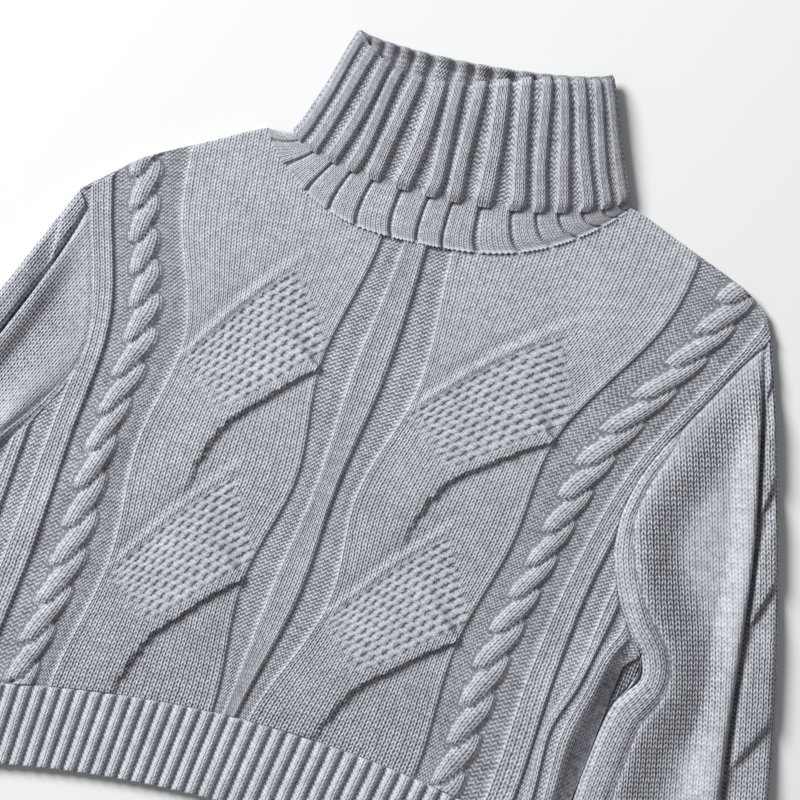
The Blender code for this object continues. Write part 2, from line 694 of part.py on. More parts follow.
def sleeve_relief(from_outer, along, length):
    """The outer cable and the purl groove that parts it from the plain field."""
    groove = through(SLEEVE_CABLE, 1, along)
    cut = np.exp(-(((from_outer - groove) / GROOVE_HALF) ** 2))
    turn = (along * length / SLEEVE_CROSS) % 1.0
    cable = plateau(from_outer, -20, groove - GROOVE_HALF, 4.0)
    return PLAIN_RISE * (1 - cut) + CABLE_RISE * cable * np.sin(np.pi * turn) ** 0.7


def tube_section(front, lining, top, hollow_top, bottom, hollow_bottom):
    """Outer and inner ring of a laid tube: across the front, then back across the underside."""
    back = slice(-2, 0, -1)
    outer = [np.column_stack([front, top]), np.column_stack([front[back], bottom[back]])]
    inner = [np.column_stack([lining, hollow_top]), np.column_stack([lining[back], hollow_bottom[back]])]
    return np.concatenate(outer), np.concatenate(inner)


def rounded(from_edge, turn):
    """0 at an edge, rising to 1 as a quarter circle over the width turn."""
    return np.sqrt(1 - (1 - np.clip(from_edge / turn, 0, 1)) ** 2)


def build_sleeve(name, table, side):
    """Plain knit with a cable along its outer edge, one tube from armhole to cuff."""
    sections = []
    length = np.linalg.norm(table[-1, :2] - table[0, :2])
    for share in np.linspace(0, 1, SLEEVE_ROWS):
        along = np.full(len(SLEEVE_MARKS), share)
        ends = sleeve_plan(table, side, np.array([0.0, 1.0]), along[:2])
        width = np.linalg.norm(ends[1] - ends[0])
        marks = sleeve_marks(width, through(SLEEVE_CABLE, 1, share), share)
        front = sleeve_plan(table, side, marks, along)
        run = np.concatenate([[0], np.cumsum(np.linalg.norm(np.diff(front, axis=0), axis=1))])
        from_inner = run[-1] - run
        fold = sleeve_fold(run, from_inner, along)
        edge = rounded(np.minimum(run, from_inner), SLEEVE_TURN)
        top = FRONT_UNDER + WALL + fold + sleeve_relief(run, along, length)
        top = WALL + (top - WALL) * edge
        pull = np.clip(WALL / run[-1], 0, 0.2)
        lining = sleeve_plan(table, side, pull + marks * (1 - 2 * pull), along)
        hollow_top = FRONT_UNDER + SEAM_GAP * (edge > 0.99) + fold
        bottom = UNDER_FOLD * fold + UNDER_LIFT * (1 - edge)
        hollow_bottom = WALL + UNDER_FOLD * fold
        sections.append(tube_section(front, lining, top, hollow_top, bottom, hollow_bottom))
    outer, inner = zip(*sections)
    ringed(name, list(outer) + list(inner)[::-1], True)


def build_cuff(name, table, cuff):
    """A short ribbed tube sewn to the end of a sleeve."""
    marks = (np.arange(CUFF_RIBS)[:, None] + np.array(RIB_MARKS)).ravel() / CUFF_RIBS
    marks = np.concatenate([[0.0], marks, [1.0]])
    start, end = table[-1].reshape(2, 2), np.array(cuff, float).reshape(2, 2)
    start = start + (end - start) * SLEEVE_CLEAR / np.linalg.norm(end[0] - start[0])
    rib = HEM_RIB_RISE * plateau(marks * CUFF_RIBS % 1, *RIB_FLANKS, RIB_FLANK)
    sections = []
    for share, trim in ((0, CUFF_TRIM), (CUFF_TURN, 0), (1 - CUFF_TURN, 0), (1, CUFF_TRIM)):
        ends = start + (end - start) * share
        width = np.linalg.norm(ends[1] - ends[0])
        edge = rounded(np.minimum(marks, 1 - marks) * width, SLEEVE_TURN)
        front = ends[0] + (ends[1] - ends[0]) * marks[:, None]
        pull = WALL / width
        lining = ends[0] + (ends[1] - ends[0]) * (pull + marks * (1 - 2 * pull))[:, None]
        top = WALL + (FRONT_UNDER + rib * (1 - trim) - trim) * edge
        hollow = np.full(len(marks), FRONT_UNDER)
        bottom = UNDER_LIFT * (1 - edge)
        sections.append(tube_section(front, lining, top, hollow, bottom, hollow - SEAM_GAP))
    outer, inner = zip(*sections)
    ringed(name, list(outer) + list(inner)[::-1], True)


# ---- Collar ----
def build_collar():
    """One tube, folded outwards at its top and down over itself: a single wall round its section."""
    ribs = COLLAR_RIBS
    marks = (np.arange(ribs)[:, None] + np.array(RIB_MARKS)).ravel() / ribs
    front = np.concatenate([[0.0], marks, [1.0]])
    back = np.linspace(1, 0, COLLAR_BACK_POINTS)[1:-1]
    angle = np.concatenate([np.pi * front, np.pi * (2 - back)])
    is_front = np.sin(angle) >= -1e-9
    round_share = np.where(is_front, angle / np.pi, 2 - angle / np.pi)
    across = round_share + COLLAR_SPREAD * ((1 - np.cos(angle)) / 2 - round_share)
    bow = np.sqrt(np.clip(1 - (2 * across - 1) ** 2, 0, 1))
    wale = NECK_WALE * (2 * across - 1)
    wale = wale + NECK_SHIFT * (1 - (wale / NECK_WALE) ** 2)
    front_foot = lay(wale[is_front], neck_course(wale[is_front]))
    back_foot = lay(wale[~is_front], back_neck_course(wale[~is_front]))
    foot = np.concatenate(
        [
            front_foot + NECK_CLEAR * left_of(np.gradient(front_foot, axis=0)),
            back_foot - NECK_CLEAR * left_of(np.gradient(back_foot, axis=0)),
        ]
    )
    rings = []
    for share, narrow, front_z, back_z, raised in COLLAR_WALL:
        values = [through(COLLAR, k, share) for k in range(1, 7)]
        left, right = np.array(values[:2]), np.array(values[2:4])
        run = (right - left) / np.linalg.norm(right - left)
        left, right = left + run * narrow, right - run * narrow
        down = np.array([run[1], -run[0]])
        sag = np.where(is_front, values[4], values[5]) * bow**COLLAR_SAG
        plan = left + (right - left) * across[:, None] + down * sag[:, None]
        plan = plan + (foot - plan) * soft_step(1 - share / NECK_SHARE)
        middle = (front_z + back_z) / 2
        half = (front_z - back_z) / 2
        turn = (np.where(is_front, angle / np.pi, 0) * ribs) % 1
        rib = (plateau(turn, *RIB_FLANKS, RIB_FLANK) - 0.5) * is_front * bow**COLLAR_FADE
        full = np.where(is_front, bow**COLLAR_TOP, -(bow**COLLAR_UNDER))
        z = middle + half * full + COLLAR_RIB_RISE * raised * rib
        rings.append(np.column_stack([plan, np.maximum(z, 0)]))
    ringed("collar", rings, True)


for item in list(bpy.data.objects):
    bpy.data.objects.remove(item)
build_body()
build_hem()
for name, table, cuff, side in (
    ("right", SLEEVE_RIGHT, CUFF_RIGHT, 1),
    ("left", SLEEVE_LEFT, CUFF_LEFT, -1),
):
    build_sleeve("sleeve_" + name, table, side)
    build_cuff("cuff_" + name, table, cuff)
build_collar()
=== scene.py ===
"""Looks of a cropped cable-knit turtleneck sweater laid flat on its back.

Plan sizes are in millimetres from the middle of the neck base: +X to the viewer's right, +Y
towards the collar, +Z up from the surface. Knitting is measured in wales across and courses up
from the hem rib. Every piece is one closed wall of knitting, and its stitches are maths in its
material, on the wales and courses kept at its points.
"""

import bmesh
import bpy
import numpy as np
from mathutils import Matrix, Vector
from mathutils.geometry import delaunay_2d_cdt


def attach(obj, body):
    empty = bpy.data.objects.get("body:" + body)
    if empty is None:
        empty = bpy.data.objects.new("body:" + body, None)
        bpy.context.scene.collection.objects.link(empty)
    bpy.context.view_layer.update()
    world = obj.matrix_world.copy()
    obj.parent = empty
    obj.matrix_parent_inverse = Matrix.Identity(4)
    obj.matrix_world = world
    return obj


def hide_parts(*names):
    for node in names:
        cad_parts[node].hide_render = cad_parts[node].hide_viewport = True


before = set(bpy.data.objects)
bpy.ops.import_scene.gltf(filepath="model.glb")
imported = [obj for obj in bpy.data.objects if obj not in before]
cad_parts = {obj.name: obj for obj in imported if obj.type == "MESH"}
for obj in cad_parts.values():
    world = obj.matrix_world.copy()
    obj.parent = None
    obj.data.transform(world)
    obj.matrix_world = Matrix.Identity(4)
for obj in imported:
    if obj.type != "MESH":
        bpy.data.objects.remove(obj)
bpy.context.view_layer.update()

# ---- Front ----
# One shaped piece of chunky grey marl yarn, knitted with its cables: a plain rib down the middle,
# then on either side a wide panel whose halves cross twice, a rope and a band, all raised over a
# purl ground. It is sewn to the back at its sides and shoulders, and lies on it.
MM = 0.001
CENTRE = (-38.0, -251.1)  # middle of the laid sweater, from the middle of the neck base
SEAM_GAP = 0.3
SEAM_LAP = 0.3  # how far the later piece laps the earlier one at a join
WALL = 2.5  # plain knitting
RIM = 2.1  # height of a rounded edge where the knitting turns down
EDGE_TURN = 1.5
FRONT_SPACING = 1.4
FRONT_UNDER = WALL + SEAM_GAP

WALE_MM = 2.9  # the flat plan's own scale
COURSE_MM = 2.75
CENTRE_RIB = 2.5
PANEL_IN = 7.4
PANEL_OUT = 41.5
ROPE_MID = 49.0
ROPE_HALF = 3.4
ROPE_CROSS = 8.5  # courses from one rope crossing to the next
ROPE_START = 2.9
ROPE_SWING = 0.44  # shares of ROPE_HALF: how far a strand swings, and half its width
ROPE_STRAND = 0.76
ROPE_REACH = 0.78  # crossings from a strand's middle to its hidden ends
ROPE_TAPER = (0.4, 0.2)  # shares of its width that it loses towards its upper and lower end
ROPE_SINK = 0.65  # share of the rise by which its upper end lies lower
ROPE_BLUNT = 0.45  # share of the reach over which its lower end rounds off
ROPE_LINES = 3.6  # stitches across a strand
ROPE_SLACK = 0.8  # its stitches lie tight
ROPE_SHADE = 1.5  # painted shade: the stitches are made looser, so darker, in the crevices between strands
ROPE_BED_PAINTED_SHADE = 0.8  # painted shade: how much looser, so darker, the purl beside a rope is
ROPE_CREVICE = 0.4  # share of the rise by which the line between two strands is sunk
ROPE_LINE = 0.18  # difference in rise over which that line runs
ON_ROPE = 0.05  # least share of the rise that is rope
BAND_IN = 56.3
BAND_OUT = 61.5
SIDE_RIBS = ((66.3, 69.2), (72.2, 75.0))
RIB_EDGE = 0.5  # wales over which plain turns to purl
SIDE_WALE = 76.2
UNDERARM_WALE = 78.3
SIDE_TAPER = 0.6

PLAIN_RISE = 1.2
RIB_RISE = 1.9
ROPE_RISE = 4.2
STRAND_RISE = 3.1
BAND_RISE = 1.9
SIDE_WALES = 0.5
BEAD_RISE = 0.55  # the edge stitch of a rib or panel stands proud
BEAD_IN = 0.55  # wales from the edge to its middle, and its half width
BEAD_HALF = 0.55
GUTTER = 0.5  # depth of the ground's gutter beside an edge
GUTTER_HALF = 0.9
STRAND_EDGE = 0.3
DIP_DEPTH = 0.7
DIP_SHARE = 0.3
ROLL_RISE = 1.0  # the rolled ridge along a strand's upper edge
ROLL_HALF = 1.1  # its half width, in courses
ROLL_VALLEY = 0.7  # the field's sinking above it
ROLL_START, ROLL_END = 0.1, 0.72  # shares of the panel between which it stands

# Where each course lies. Columns: course, centre x, centre y, tilt in degrees, skew, arch radius,
# then the distances from the centre of wales 7.5, 41.5, 48.5, 60.5 and 76.
LAY = np.array([
    (-18, -38.0, -436.0, 3.0, 0.033, 750, 13, 117, 133, 174, 210),
    (0, -33.0, -381.0, 3.2, 0.033, 750, 12, 122, 139, 182, 217),
    (30, -21.4, -292.0, 3.0, 0.000, 1150, 28.5, 116, 139.5, 179.5, 222),
    (55, -16.0, -219.4, 2.0, 0.000, 1300, 20, 126, 146.5, 180, 224),
    (80, -11.6, -147.3, 1.8, 0.030, 1300, 32, 124.5, 153.5, 186.5, 230),
    (113, -7.3, -53.5, 5.0, 0.065, 1300, 23, 163, 188.5, 223, 265),
    (140, -12.0, 18.0, 5.0, 0.090, 1300, 26, 171.5, 208, 247, 290),
])
LAY_WALES = np.array([0, 7.5, 41.5, 48.5, 60.5, 76.0])

# The fold at the viewer's-right underarm draws the side ribs in. Columns: course, millimetres that
# the first rib moves, millimetres that the second one moves.
SIDE_PULL = np.array([
    (0, 4, 5), (10, 8, 10), (20, 11, 13.5), (30, 3.5, 10), (40, 0.3, 7), (46, 0, 1), (50, 0, 0),
    (60, 0, 0),
])
PULL_WALES = (61.5, 67.7, 73.6, 74.9, 75.6)  # none, first rib, second rib to its far edge, none

# Armhole seam, shoulder to underarm. Columns: course, left wale, right wale.
ARMHOLE = np.array([
    (116.2, 64.6, 60.0), (109.5, 62.2, 58.8), (100, 61.5, 58.8), (89, 61.4, 59.1),
    (78, 60.6, 59.5), (69, 61.2, 60.8), (62, 63.8, 63.2), (56, 67.2, 66.6), (50, 71.8, 71.0),
    (43, 78.3, 78.3),
])
# Where the back reaches out under the gap at the underarm. Columns: course, wales past the front.
BACK_REACH = np.array([(27, 0), (31, 1.0), (33, 1.8), (36, 3.0), (38.5, 3.5), (41, 1.9), (43, 0)])
# Shoulder line, neck to tip. Columns: wale, course.
SHOULDER = np.array(
    [(33, 133.4), (37, 131.0), (41, 128.9), (46, 126.4), (51, 124.0), (55.5, 121.2)]
)
NECK_WALE = 29.8
NECK_COURSE = 113.8
NECK_RISE = 21.0
NECK_POWER = 3.2
BACK_NECK_DIP = 5.5

# The two crossings of the big cable: course of the outer corner of the strand that lies on top.
CROSSINGS = (80.0, 30.4)
# The step along the top strand's lower edge. Columns: courses below the corner, share across.
STEP = np.array([
    (0, 1.0), (2.6, 0.9), (5.4, 0.8), (8.7, 0.7), (12, 0.6), (15.2, 0.51), (18, 0.463),
    (22, 0.425), (26, 0.4), (31, 0.385),
])
STEP_WAVE = 0.0035  # the stitches make the edge uneven, as a share of the panel
STRAND_TIP = 0.53
STRAND_TIP_UP = 20.0
TIP_SOFT = 0.25  # share of the panel over which it runs out above its corner
STRAND_FOOT = 3.5
STRAND_LEVEL = 21.0
STRAND_SINK = 19.0
STRAND_WALES = 13.0  # basket stitch across a strand
STRAND_SMOOTH = 1.6  # of those, rolled smooth along its lower edge
YOKE_STITCHES = 36.0  # stitches across a panel above its upper crossing
YOKE_LAP = 2.2  # courses by which the basket stitch laps the yoke's edge
# Slants of the basket stitch, in courses over a panel's width: the strand's upper edge, its lower
# edge, its tip and its foot.
UPPER_SLANT, LOWER_SLANT, TIP_SLANT, FOOT_SLANT = 44.3, 31.2, 42.6, 24.2
BASKET_RUN = (25.0, 0.72)  # its beads, for each panel's width and for each course

# Stitches that are really there. Columns: wale of the plan, stitches from the centre.
STITCHES = np.array([
    (0, 0), (CENTRE_RIB, 3), (PANEL_IN, 8), (PANEL_OUT, 36), (ROPE_MID - ROPE_HALF, 41),
    (ROPE_MID + ROPE_HALF, 45), (BAND_IN, 48), (BAND_OUT, 52), (66.3, 56), (69.2, 58), (72.2, 61),
    (75.0, 63), (80.0, 66),
])

# The fold beside the viewer's-right underarm. Columns: course, height.
SIDE_FOLD = np.array([(0, 2.0), (6, 4.0), (15, 5.5), (35, 5.5), (41, 3.0), (44, 0)])
# Soft creases. Columns: from x, y, to x, y, height, half width.
FRONT_CREASES = (
    (150, -330, 188, -262, 1.6, 9),
    (-205, -330, -150, -230, 1.8, 12),
    (-180, -300, -120, -210, -1.2, 12),
    (-60, -330, -100, -250, 1.2, 16),
    (20, -345, 60, -270, 1.2, 15),
    (-150, -60, -105, -150, 1.0, 16),
    (110, -30, 165, -110, 1.2, 14),
    (95, -60, 140, -150, -1.0, 14),
)
# How loose the stitches are, which also sets how deep the painted shade between them is, so the
# front is darker towards the hem. Columns: course, looseness.
SLACK = np.array([(0, 1.3), (30, 1.15), (60, 1.0), (85, 0.85), (110, 0.78)])
HOLLOW_PAINTED_SHADE = 2.4  # painted shade in the hollow beside the underarm fold: the stitches there are made looser, so darker


def through(table, column, at):
    """Smooth value of one column of a table at a place along its first column."""
    places = table[:, 0].astype(float)
    order = np.argsort(places)
    places = places[order]
    values = table[order, column].astype(float)
    slopes = np.gradient(values, places)
    at = np.clip(at, places[0], places[-1])
    row = np.clip(np.searchsorted(places, at, side="right") - 1, 0, len(places) - 2)
    span = places[row + 1] - places[row]
    t = (at - places[row]) / span
    rise = (3 - 2 * t) * t * t
    leaving = t * (1 - t) ** 2 * span * slopes[row]
    arriving = t * t * (t - 1) * span * slopes[row + 1]
    return values[row] + (values[row + 1] - values[row]) * rise + leaving + arriving


def soft_step(x):
    x = np.clip(x, 0.0, 1.0)
    return x * x * (3 - 2 * x)


def plateau(x, low, high, edge):
    """1 between low and high, falling softly to 0 over edge on each side."""
    return soft_step((x - low) / edge + 0.5) * soft_step((high - x) / edge + 0.5)


def on_course(course, distance):
    """Plan point at a signed distance from the centre front, along a course's arch."""
    tilt = np.radians(through(LAY, 3, course))
    radius = through(LAY, 5, course)
    turned = tilt - distance / radius
    x = through(LAY, 1, course) + radius * (np.sin(tilt) - np.sin(turned))
    y = through(LAY, 2, course) + radius * (np.cos(turned) - np.cos(tilt))
    return np.stack([x, y], -1)


def lay(wale, course):
    """Plan point of a wale and course."""
    wale, course = np.broadcast_arrays(np.asarray(wale, float), np.asarray(course, float))
    marks = np.stack([0 * course] + [through(LAY, k, course) for k in range(6, 11)])
    off = np.abs(wale)
    part = np.clip(np.searchsorted(LAY_WALES, off, side="right") - 1, 0, len(LAY_WALES) - 2)
    near = np.take_along_axis(marks, part[None], 0)[0]
    far = np.take_along_axis(marks, part[None] + 1, 0)[0]
    share = (off - LAY_WALES[part]) / (LAY_WALES[part + 1] - LAY_WALES[part])
    skew = through(LAY, 4, course) * np.sign(wale)
    pull = through(SIDE_PULL, 1, course) * np.interp(wale, PULL_WALES, (0, 1, 0, 0, 0))
    pull = pull + through(SIDE_PULL, 2, course) * np.interp(wale, PULL_WALES, (0, 0, 1, 1, 0))
    return on_course(course, (near + (far - near) * share) * (1 + skew) * np.sign(wale) - pull)


def neck_course(wale):
    return NECK_COURSE + NECK_RISE * np.abs(np.asarray(wale, float) / NECK_WALE) ** NECK_POWER


def back_neck_course(wale):
    dip = BACK_NECK_DIP * (1 - (np.asarray(wale, float) / NECK_WALE) ** 4)
    return neck_course(NECK_WALE) - dip


def knitted(rule):
    """A rule on wales and courses as one on points of the flat plan."""
    return lambda points: rule(points[:, 0] / WALE_MM, points[:, 1] / COURSE_MM)


def rope(wale, course):
    """Height of slanting strands, each tucked under the next.

    It also gives the place across the top one, and how deep a point is between two."""
    across = (np.abs(wale) - ROPE_MID) * np.where(wale < 0, -1, 1) / ROPE_HALF
    turn = (course - ROPE_START) / ROPE_CROSS - 0.5
    height, along = np.zeros_like(across), np.zeros_like(across)
    for step in (0, 1):
        end = np.clip((turn % 1 - step) / ROPE_REACH, -1, 1)
        taper = ROPE_TAPER[0] * np.clip(end, 0, 1) ** 2 + ROPE_TAPER[1] * np.clip(-end, 0, 1) ** 2
        half = ROPE_STRAND * (1 - taper)
        level = 1 - ROPE_SINK * np.clip(end, 0, 1) ** 1.5 - (end >= 1)
        blunt = 1 - np.clip((-end - 1) / ROPE_BLUNT + 1, 0, 1) ** 2
        level = np.clip(level, 0, 1) * np.sqrt(blunt)
        place = (across - ROPE_SWING * np.sin(np.pi / 2 * end)) / half
        lifted = level * np.sqrt(np.clip(1 - place**2, 0, 1))
        deep = step * np.exp(-(((lifted - height) / ROPE_LINE) ** 2))
        deep = deep * (np.minimum(lifted, height) > ON_ROPE)
        along = np.where(lifted > height, place, along)
        height = np.maximum(height, lifted) - ROPE_CREVICE * deep
    return height, along, deep


def panel_share(wale):
    """Share of the big cable panel from its viewer's-left edge, on either side of the front."""
    width = PANEL_OUT - PANEL_IN
    return np.where(wale < 0, (wale + PANEL_OUT) / width, (wale - PANEL_IN) / width)


def step_share(below):
    wave = np.sin(2.3 * below) + 0.7 * np.sin(1.3 * below + 1)
    return through(STEP, 1, below) + STEP_WAVE * wave * np.clip(below / 4, 0, 1)


def crossing(share, course):
    """The top strand of each crossing: soft along its upper edge, a step along its lower one."""
    height = np.zeros_like(share)
    for corner in CROSSINGS:
        below = corner - course
        upper = STRAND_TIP * (STRAND_FOOT - below) / (STRAND_FOOT + STRAND_TIP_UP)
        upper = np.clip(upper, 0, STRAND_TIP)
        fade_edge = 1.0 + (STRAND_TIP - 1.0) * np.clip(-below / STRAND_TIP_UP, 0, 1)
        lower = np.where(below > 0, step_share(below), fade_edge)
        place = np.clip((share - upper) / np.maximum(lower - upper, 0.02), 0, 1)
        come = soft_step((below + STRAND_TIP_UP) / (STRAND_TIP_UP + 4))
        go = 1 - soft_step((below - STRAND_LEVEL) / STRAND_SINK)
        on_top = (share <= lower) & (share >= upper)
        lift = come * go * (STRAND_EDGE + (1 - STRAND_EDGE) * soft_step(place))
        reach = TIP_SOFT * np.clip(-below / 8, 0.02, 1)
        lift = lift * soft_step((lower - share) / reach + (below > 0))
        height += np.where(on_top, STRAND_RISE * lift, 0)
        beside = np.clip((share - lower) / DIP_SHARE, 0, 1)
        dip = np.where((below > 0) & (share > lower), go * (1 - soft_step(beside)), 0)
        height -= DIP_DEPTH * dip
        edge = corner - STRAND_FOOT + (STRAND_FOOT + STRAND_TIP_UP) * share / STRAND_TIP
        past = (course - edge) / ROLL_HALF
        length = soft_step(share / ROLL_START) * soft_step((ROLL_END - share) / 0.2)
        height += length * ROLL_RISE * np.exp(-((past + 0.6) ** 2))
        height -= length * ROLL_VALLEY * np.exp(-(((past - 2.4) / 1.6) ** 2))
    return height


def ribbed_edges(side, low, high, rise):
    """A raised strip whose edge stitches stand proud, with a gutter in the ground beside each."""
    height = rise * plateau(side, low, high, SIDE_WALES)
    for edge, inwards in ((low, 1), (high, -1)):
        past = (side - edge) * inwards
        height = height + BEAD_RISE * np.exp(-(((past - BEAD_IN) / BEAD_HALF) ** 2))
        height = height - GUTTER * np.exp(-(((past + GUTTER_HALF) / GUTTER_HALF) ** 2))
    return height


def front_relief(wale, course):
    wale, course = np.broadcast_arrays(np.asarray(wale, float), np.asarray(course, float))
    side = np.abs(wale)
    height = ribbed_edges(side, -CENTRE_RIB, CENTRE_RIB, RIB_RISE)
    in_panel = plateau(side, PANEL_IN, PANEL_OUT, SIDE_WALES)
    height = height + ribbed_edges(side, PANEL_IN, PANEL_OUT, PLAIN_RISE)
    height = height + in_panel * crossing(panel_share(wale), course)
    height = height + ROPE_RISE * rope(wale, course)[0]
    height = height + ribbed_edges(side, BAND_IN, BAND_OUT, BAND_RISE)
    for low, high in SIDE_RIBS:
        height = height + ribbed_edges(side, low, high, RIB_RISE)
    return height


def segment_ridge(points, ridges):
    """Height of soft ridges and troughs that fade along straight runs."""
    height = np.zeros(len(points))
    for x, y, to_x, to_y, rise, width in ridges:
        run = np.array([to_x - x, to_y - y], float)
        offset = points - (x, y)
        share = np.clip((offset @ run) / (run @ run), 0, 1)
        away = np.linalg.norm(offset - share[:, None] * run, axis=1)
        height += rise * np.exp(-((away / width) ** 2)) * (0.35 + 0.65 * np.sin(np.pi * share))
    return height


def past_ribs(wale):
    """0 to 1 over the stretch beyond the second side rib, which the underarm fold draws out."""
    return np.clip((wale - PULL_WALES[3]) / (PULL_WALES[4] - PULL_WALES[3]), 0, 1)


def front_lift(wale, course):
    """How far the laid cloth stands off: the fold at the underarm, and soft creases."""
    fold = np.interp(course, *SIDE_FOLD.T)
    fold = fold * soft_step((wale - BAND_OUT) / 12) * (1 - past_ribs(wale) ** 1.3)
    return fold + segment_ridge(lay(wale, course), FRONT_CREASES)


def front_stitches(wale, course):
    """Real wales, courses and how far each point is purl."""
    count = np.interp(np.abs(wale), STITCHES[:, 0], STITCHES[:, 1]) * np.sign(wale)
    side = np.abs(wale)
    share = panel_share(wale)
    beyond = np.clip((share - STRAND_TIP) / (1 - STRAND_TIP), 0, 1)
    rise = np.minimum(share, STRAND_TIP) / STRAND_TIP * (STRAND_FOOT + STRAND_TIP_UP)
    lap = YOKE_LAP * soft_step(share / 0.1) * soft_step((1 - share) / 0.1)
    yoke = course > CROSSINGS[0] - STRAND_FOOT + rise - beyond * STRAND_TIP_UP - lap
    edge = np.where(wale < 0, -STITCHES[3, 1], STITCHES[2, 1])
    count = np.where(yoke & (share > 0) & (share < 1), edge + YOKE_STITCHES * share, count)
    count = count + through(SIDE_PULL, 2, course) / WALE_MM * past_ribs(wale)
    height, along, _ = rope(wale, course)
    on_rope = height > ON_ROPE
    count = np.where(on_rope, ROPE_LINES / 2 * along, count)
    plain = ((-1, CENTRE_RIB), (PANEL_IN, PANEL_OUT), (BAND_IN, BAND_OUT), *SIDE_RIBS)
    knit = sum(plateau(side, low, high, RIB_EDGE) for low, high in plain) + on_rope
    return np.column_stack([count, course, 1 - np.clip(knit, 0, 1)])


def below_tip(share, course, corner):
    """Courses from a point up to the slanting tip of a strand's basket stitch."""
    return STRAND_TIP_UP - TIP_SLANT * (share - STRAND_TIP) - (course - corner)


def slack_and_shade(wale, course):
    """How far the stitches stand apart: drawn tight in the yoke, loose above the hem.

    It also gives how near a point is to the tip of a strand, where the basket stitch opens."""
    # The looseness is kept for the material, where it sets how deep the painted shade between the
    # stitches is.
    loose = np.interp(course, *SLACK.T)
    outside = 1 - plateau(np.abs(wale), PANEL_IN, PANEL_OUT, 1)
    loose = loose + outside * (1.0 - loose)
    # Painted shade on the purl bed beside each rope.
    loose = loose + ROPE_BED_PAINTED_SHADE * plateau(np.abs(wale), PANEL_OUT + 1, BAND_IN, 1)
    # Painted shade in the hollow beside the underarm fold.
    hollow = np.interp(course, *SIDE_FOLD.T) / SIDE_FOLD[:, 1].max()
    loose = loose + HOLLOW_PAINTED_SHADE * hollow * soft_step((wale - PULL_WALES[3]) / 0.3)
    height, _, deep = rope(wale, course)
    # Painted shade in the crevices between rope strands: the stitches there are made looser, so
    # darker.
    loose = np.where(height > ON_ROPE, ROPE_SLACK + ROPE_SHADE * deep, loose)
    tipness = np.zeros_like(loose)
    for corner in CROSSINGS:
        tip = below_tip(panel_share(wale), course, corner)
        tipness = np.maximum(tipness, np.clip(1 - np.abs(tip + 3) / 9, 0, 1))
    return np.column_stack([loose, tipness, 0 * loose])


def basket(wale, course):
    """Place in the basket stitch of the top strands: across, along and how strongly it shows."""
    share = panel_share(wale)
    in_panel = (share > 0) & (share < 1)
    across, along, shown = (np.zeros_like(share) for _ in range(3))
    for corner in CROSSINGS:
        up = corner - STRAND_FOOT + UPPER_SLANT * share
        low = corner - LOWER_SLANT * (1 - share)
        place = (up - course) / (up - low)
        tip = below_tip(share, course, corner)
        foot = course - corner + STRAND_FOOT + FOOT_SLANT * share
        inside = soft_step(place * STRAND_WALES - 0.5)
        inside = inside * soft_step(((1 - place) * STRAND_WALES - STRAND_SMOOTH + 1) / 1.5)
        inside = inside * soft_step((tip + 9) / 8) * soft_step((foot + 5) / 11) * in_panel
        chosen = inside > shown
        across = np.where(chosen, STRAND_WALES * place, across)
        along = np.where(chosen, BASKET_RUN[0] * share + BASKET_RUN[1] * course, along)
        shown = np.maximum(shown, inside)
    return np.column_stack([across, along, shown])


def inside(points, loop):
    """Which points lie inside a closed loop."""
    found = np.zeros(len(points), bool)
    for (ax, ay), (bx, by) in zip(loop, np.roll(loop, -1, axis=0)):
        if ay != by:
            crosses = (ay > points[:, 1]) != (by > points[:, 1])
            found ^= crosses & (points[:, 0] < ax + (points[:, 1] - ay) * (bx - ax) / (by - ay))
    return found


def near(points, line, limit):
    """Which points lie nearer than limit to a line of points."""
    found = np.zeros(len(points), bool)
    for start, end in zip(line[:-1], line[1:]):
        low, high = np.minimum(start, end) - limit, np.maximum(start, end) + limit
        close = np.flatnonzero(((points > low) & (points < high)).all(1))
        offset, run = points[close] - start, end - start
        share = np.clip((offset @ run) / max(run @ run, 1e-9), 0, 1)
        found[close] |= np.linalg.norm(offset - share[:, None] * run, axis=1) < limit
    return found


def left_of(runs):
    """Unit directions a quarter turn to the left of each run."""
    return np.stack([-runs[:, 1], runs[:, 0]], -1) / np.linalg.norm(runs, axis=1)[:, None]


def inset(loop, width):
    """A counter-clockwise closed loop moved in by width."""
    before, after = np.roll(loop, 1, axis=0), np.roll(loop, -1, axis=0)
    both = left_of(loop - before) + left_of(after - loop)
    return loop + width * both / np.maximum((both**2).sum(1) / 2, 0.6)[:, None]


def finish(name, verts, faces, material, **values):
    """A mesh object of one closed wall, faces outwards, with a vector kept at each point."""
    shifted = (np.asarray(verts, float) - (*CENTRE, 0)) * MM
    mesh = bpy.data.meshes.new(name)
    mesh.from_pydata(shifted.tolist(), [], [tuple(int(i) for i in f) for f in faces])
    for key, vectors in values.items():
        kept = mesh.attributes.new(key, "FLOAT_VECTOR", "POINT")
        kept.data.foreach_set("vector", np.asarray(vectors, np.float32).ravel())
    work = bmesh.new()
    work.from_mesh(mesh)
    bmesh.ops.recalc_face_normals(work, faces=work.faces)
    work.to_mesh(mesh)
    work.free()
    mesh.shade_smooth()
    mesh.set_sharp_from_angle(angle=1.3)
    mesh.materials.append(material)
    item = bpy.data.objects.new(name, mesh)
    bpy.context.scene.collection.objects.link(item)
    return item


LOWER_POINTS = 6000  # most points of a wall's underside
LOWER_FEW = 3000  # a grid with fewer points is thinned to a fifth there
RIM_STEPS = (0.0, 0.12, 0.3, 0.6, 1.0)  # shares of a rim's turn that have a ring of points


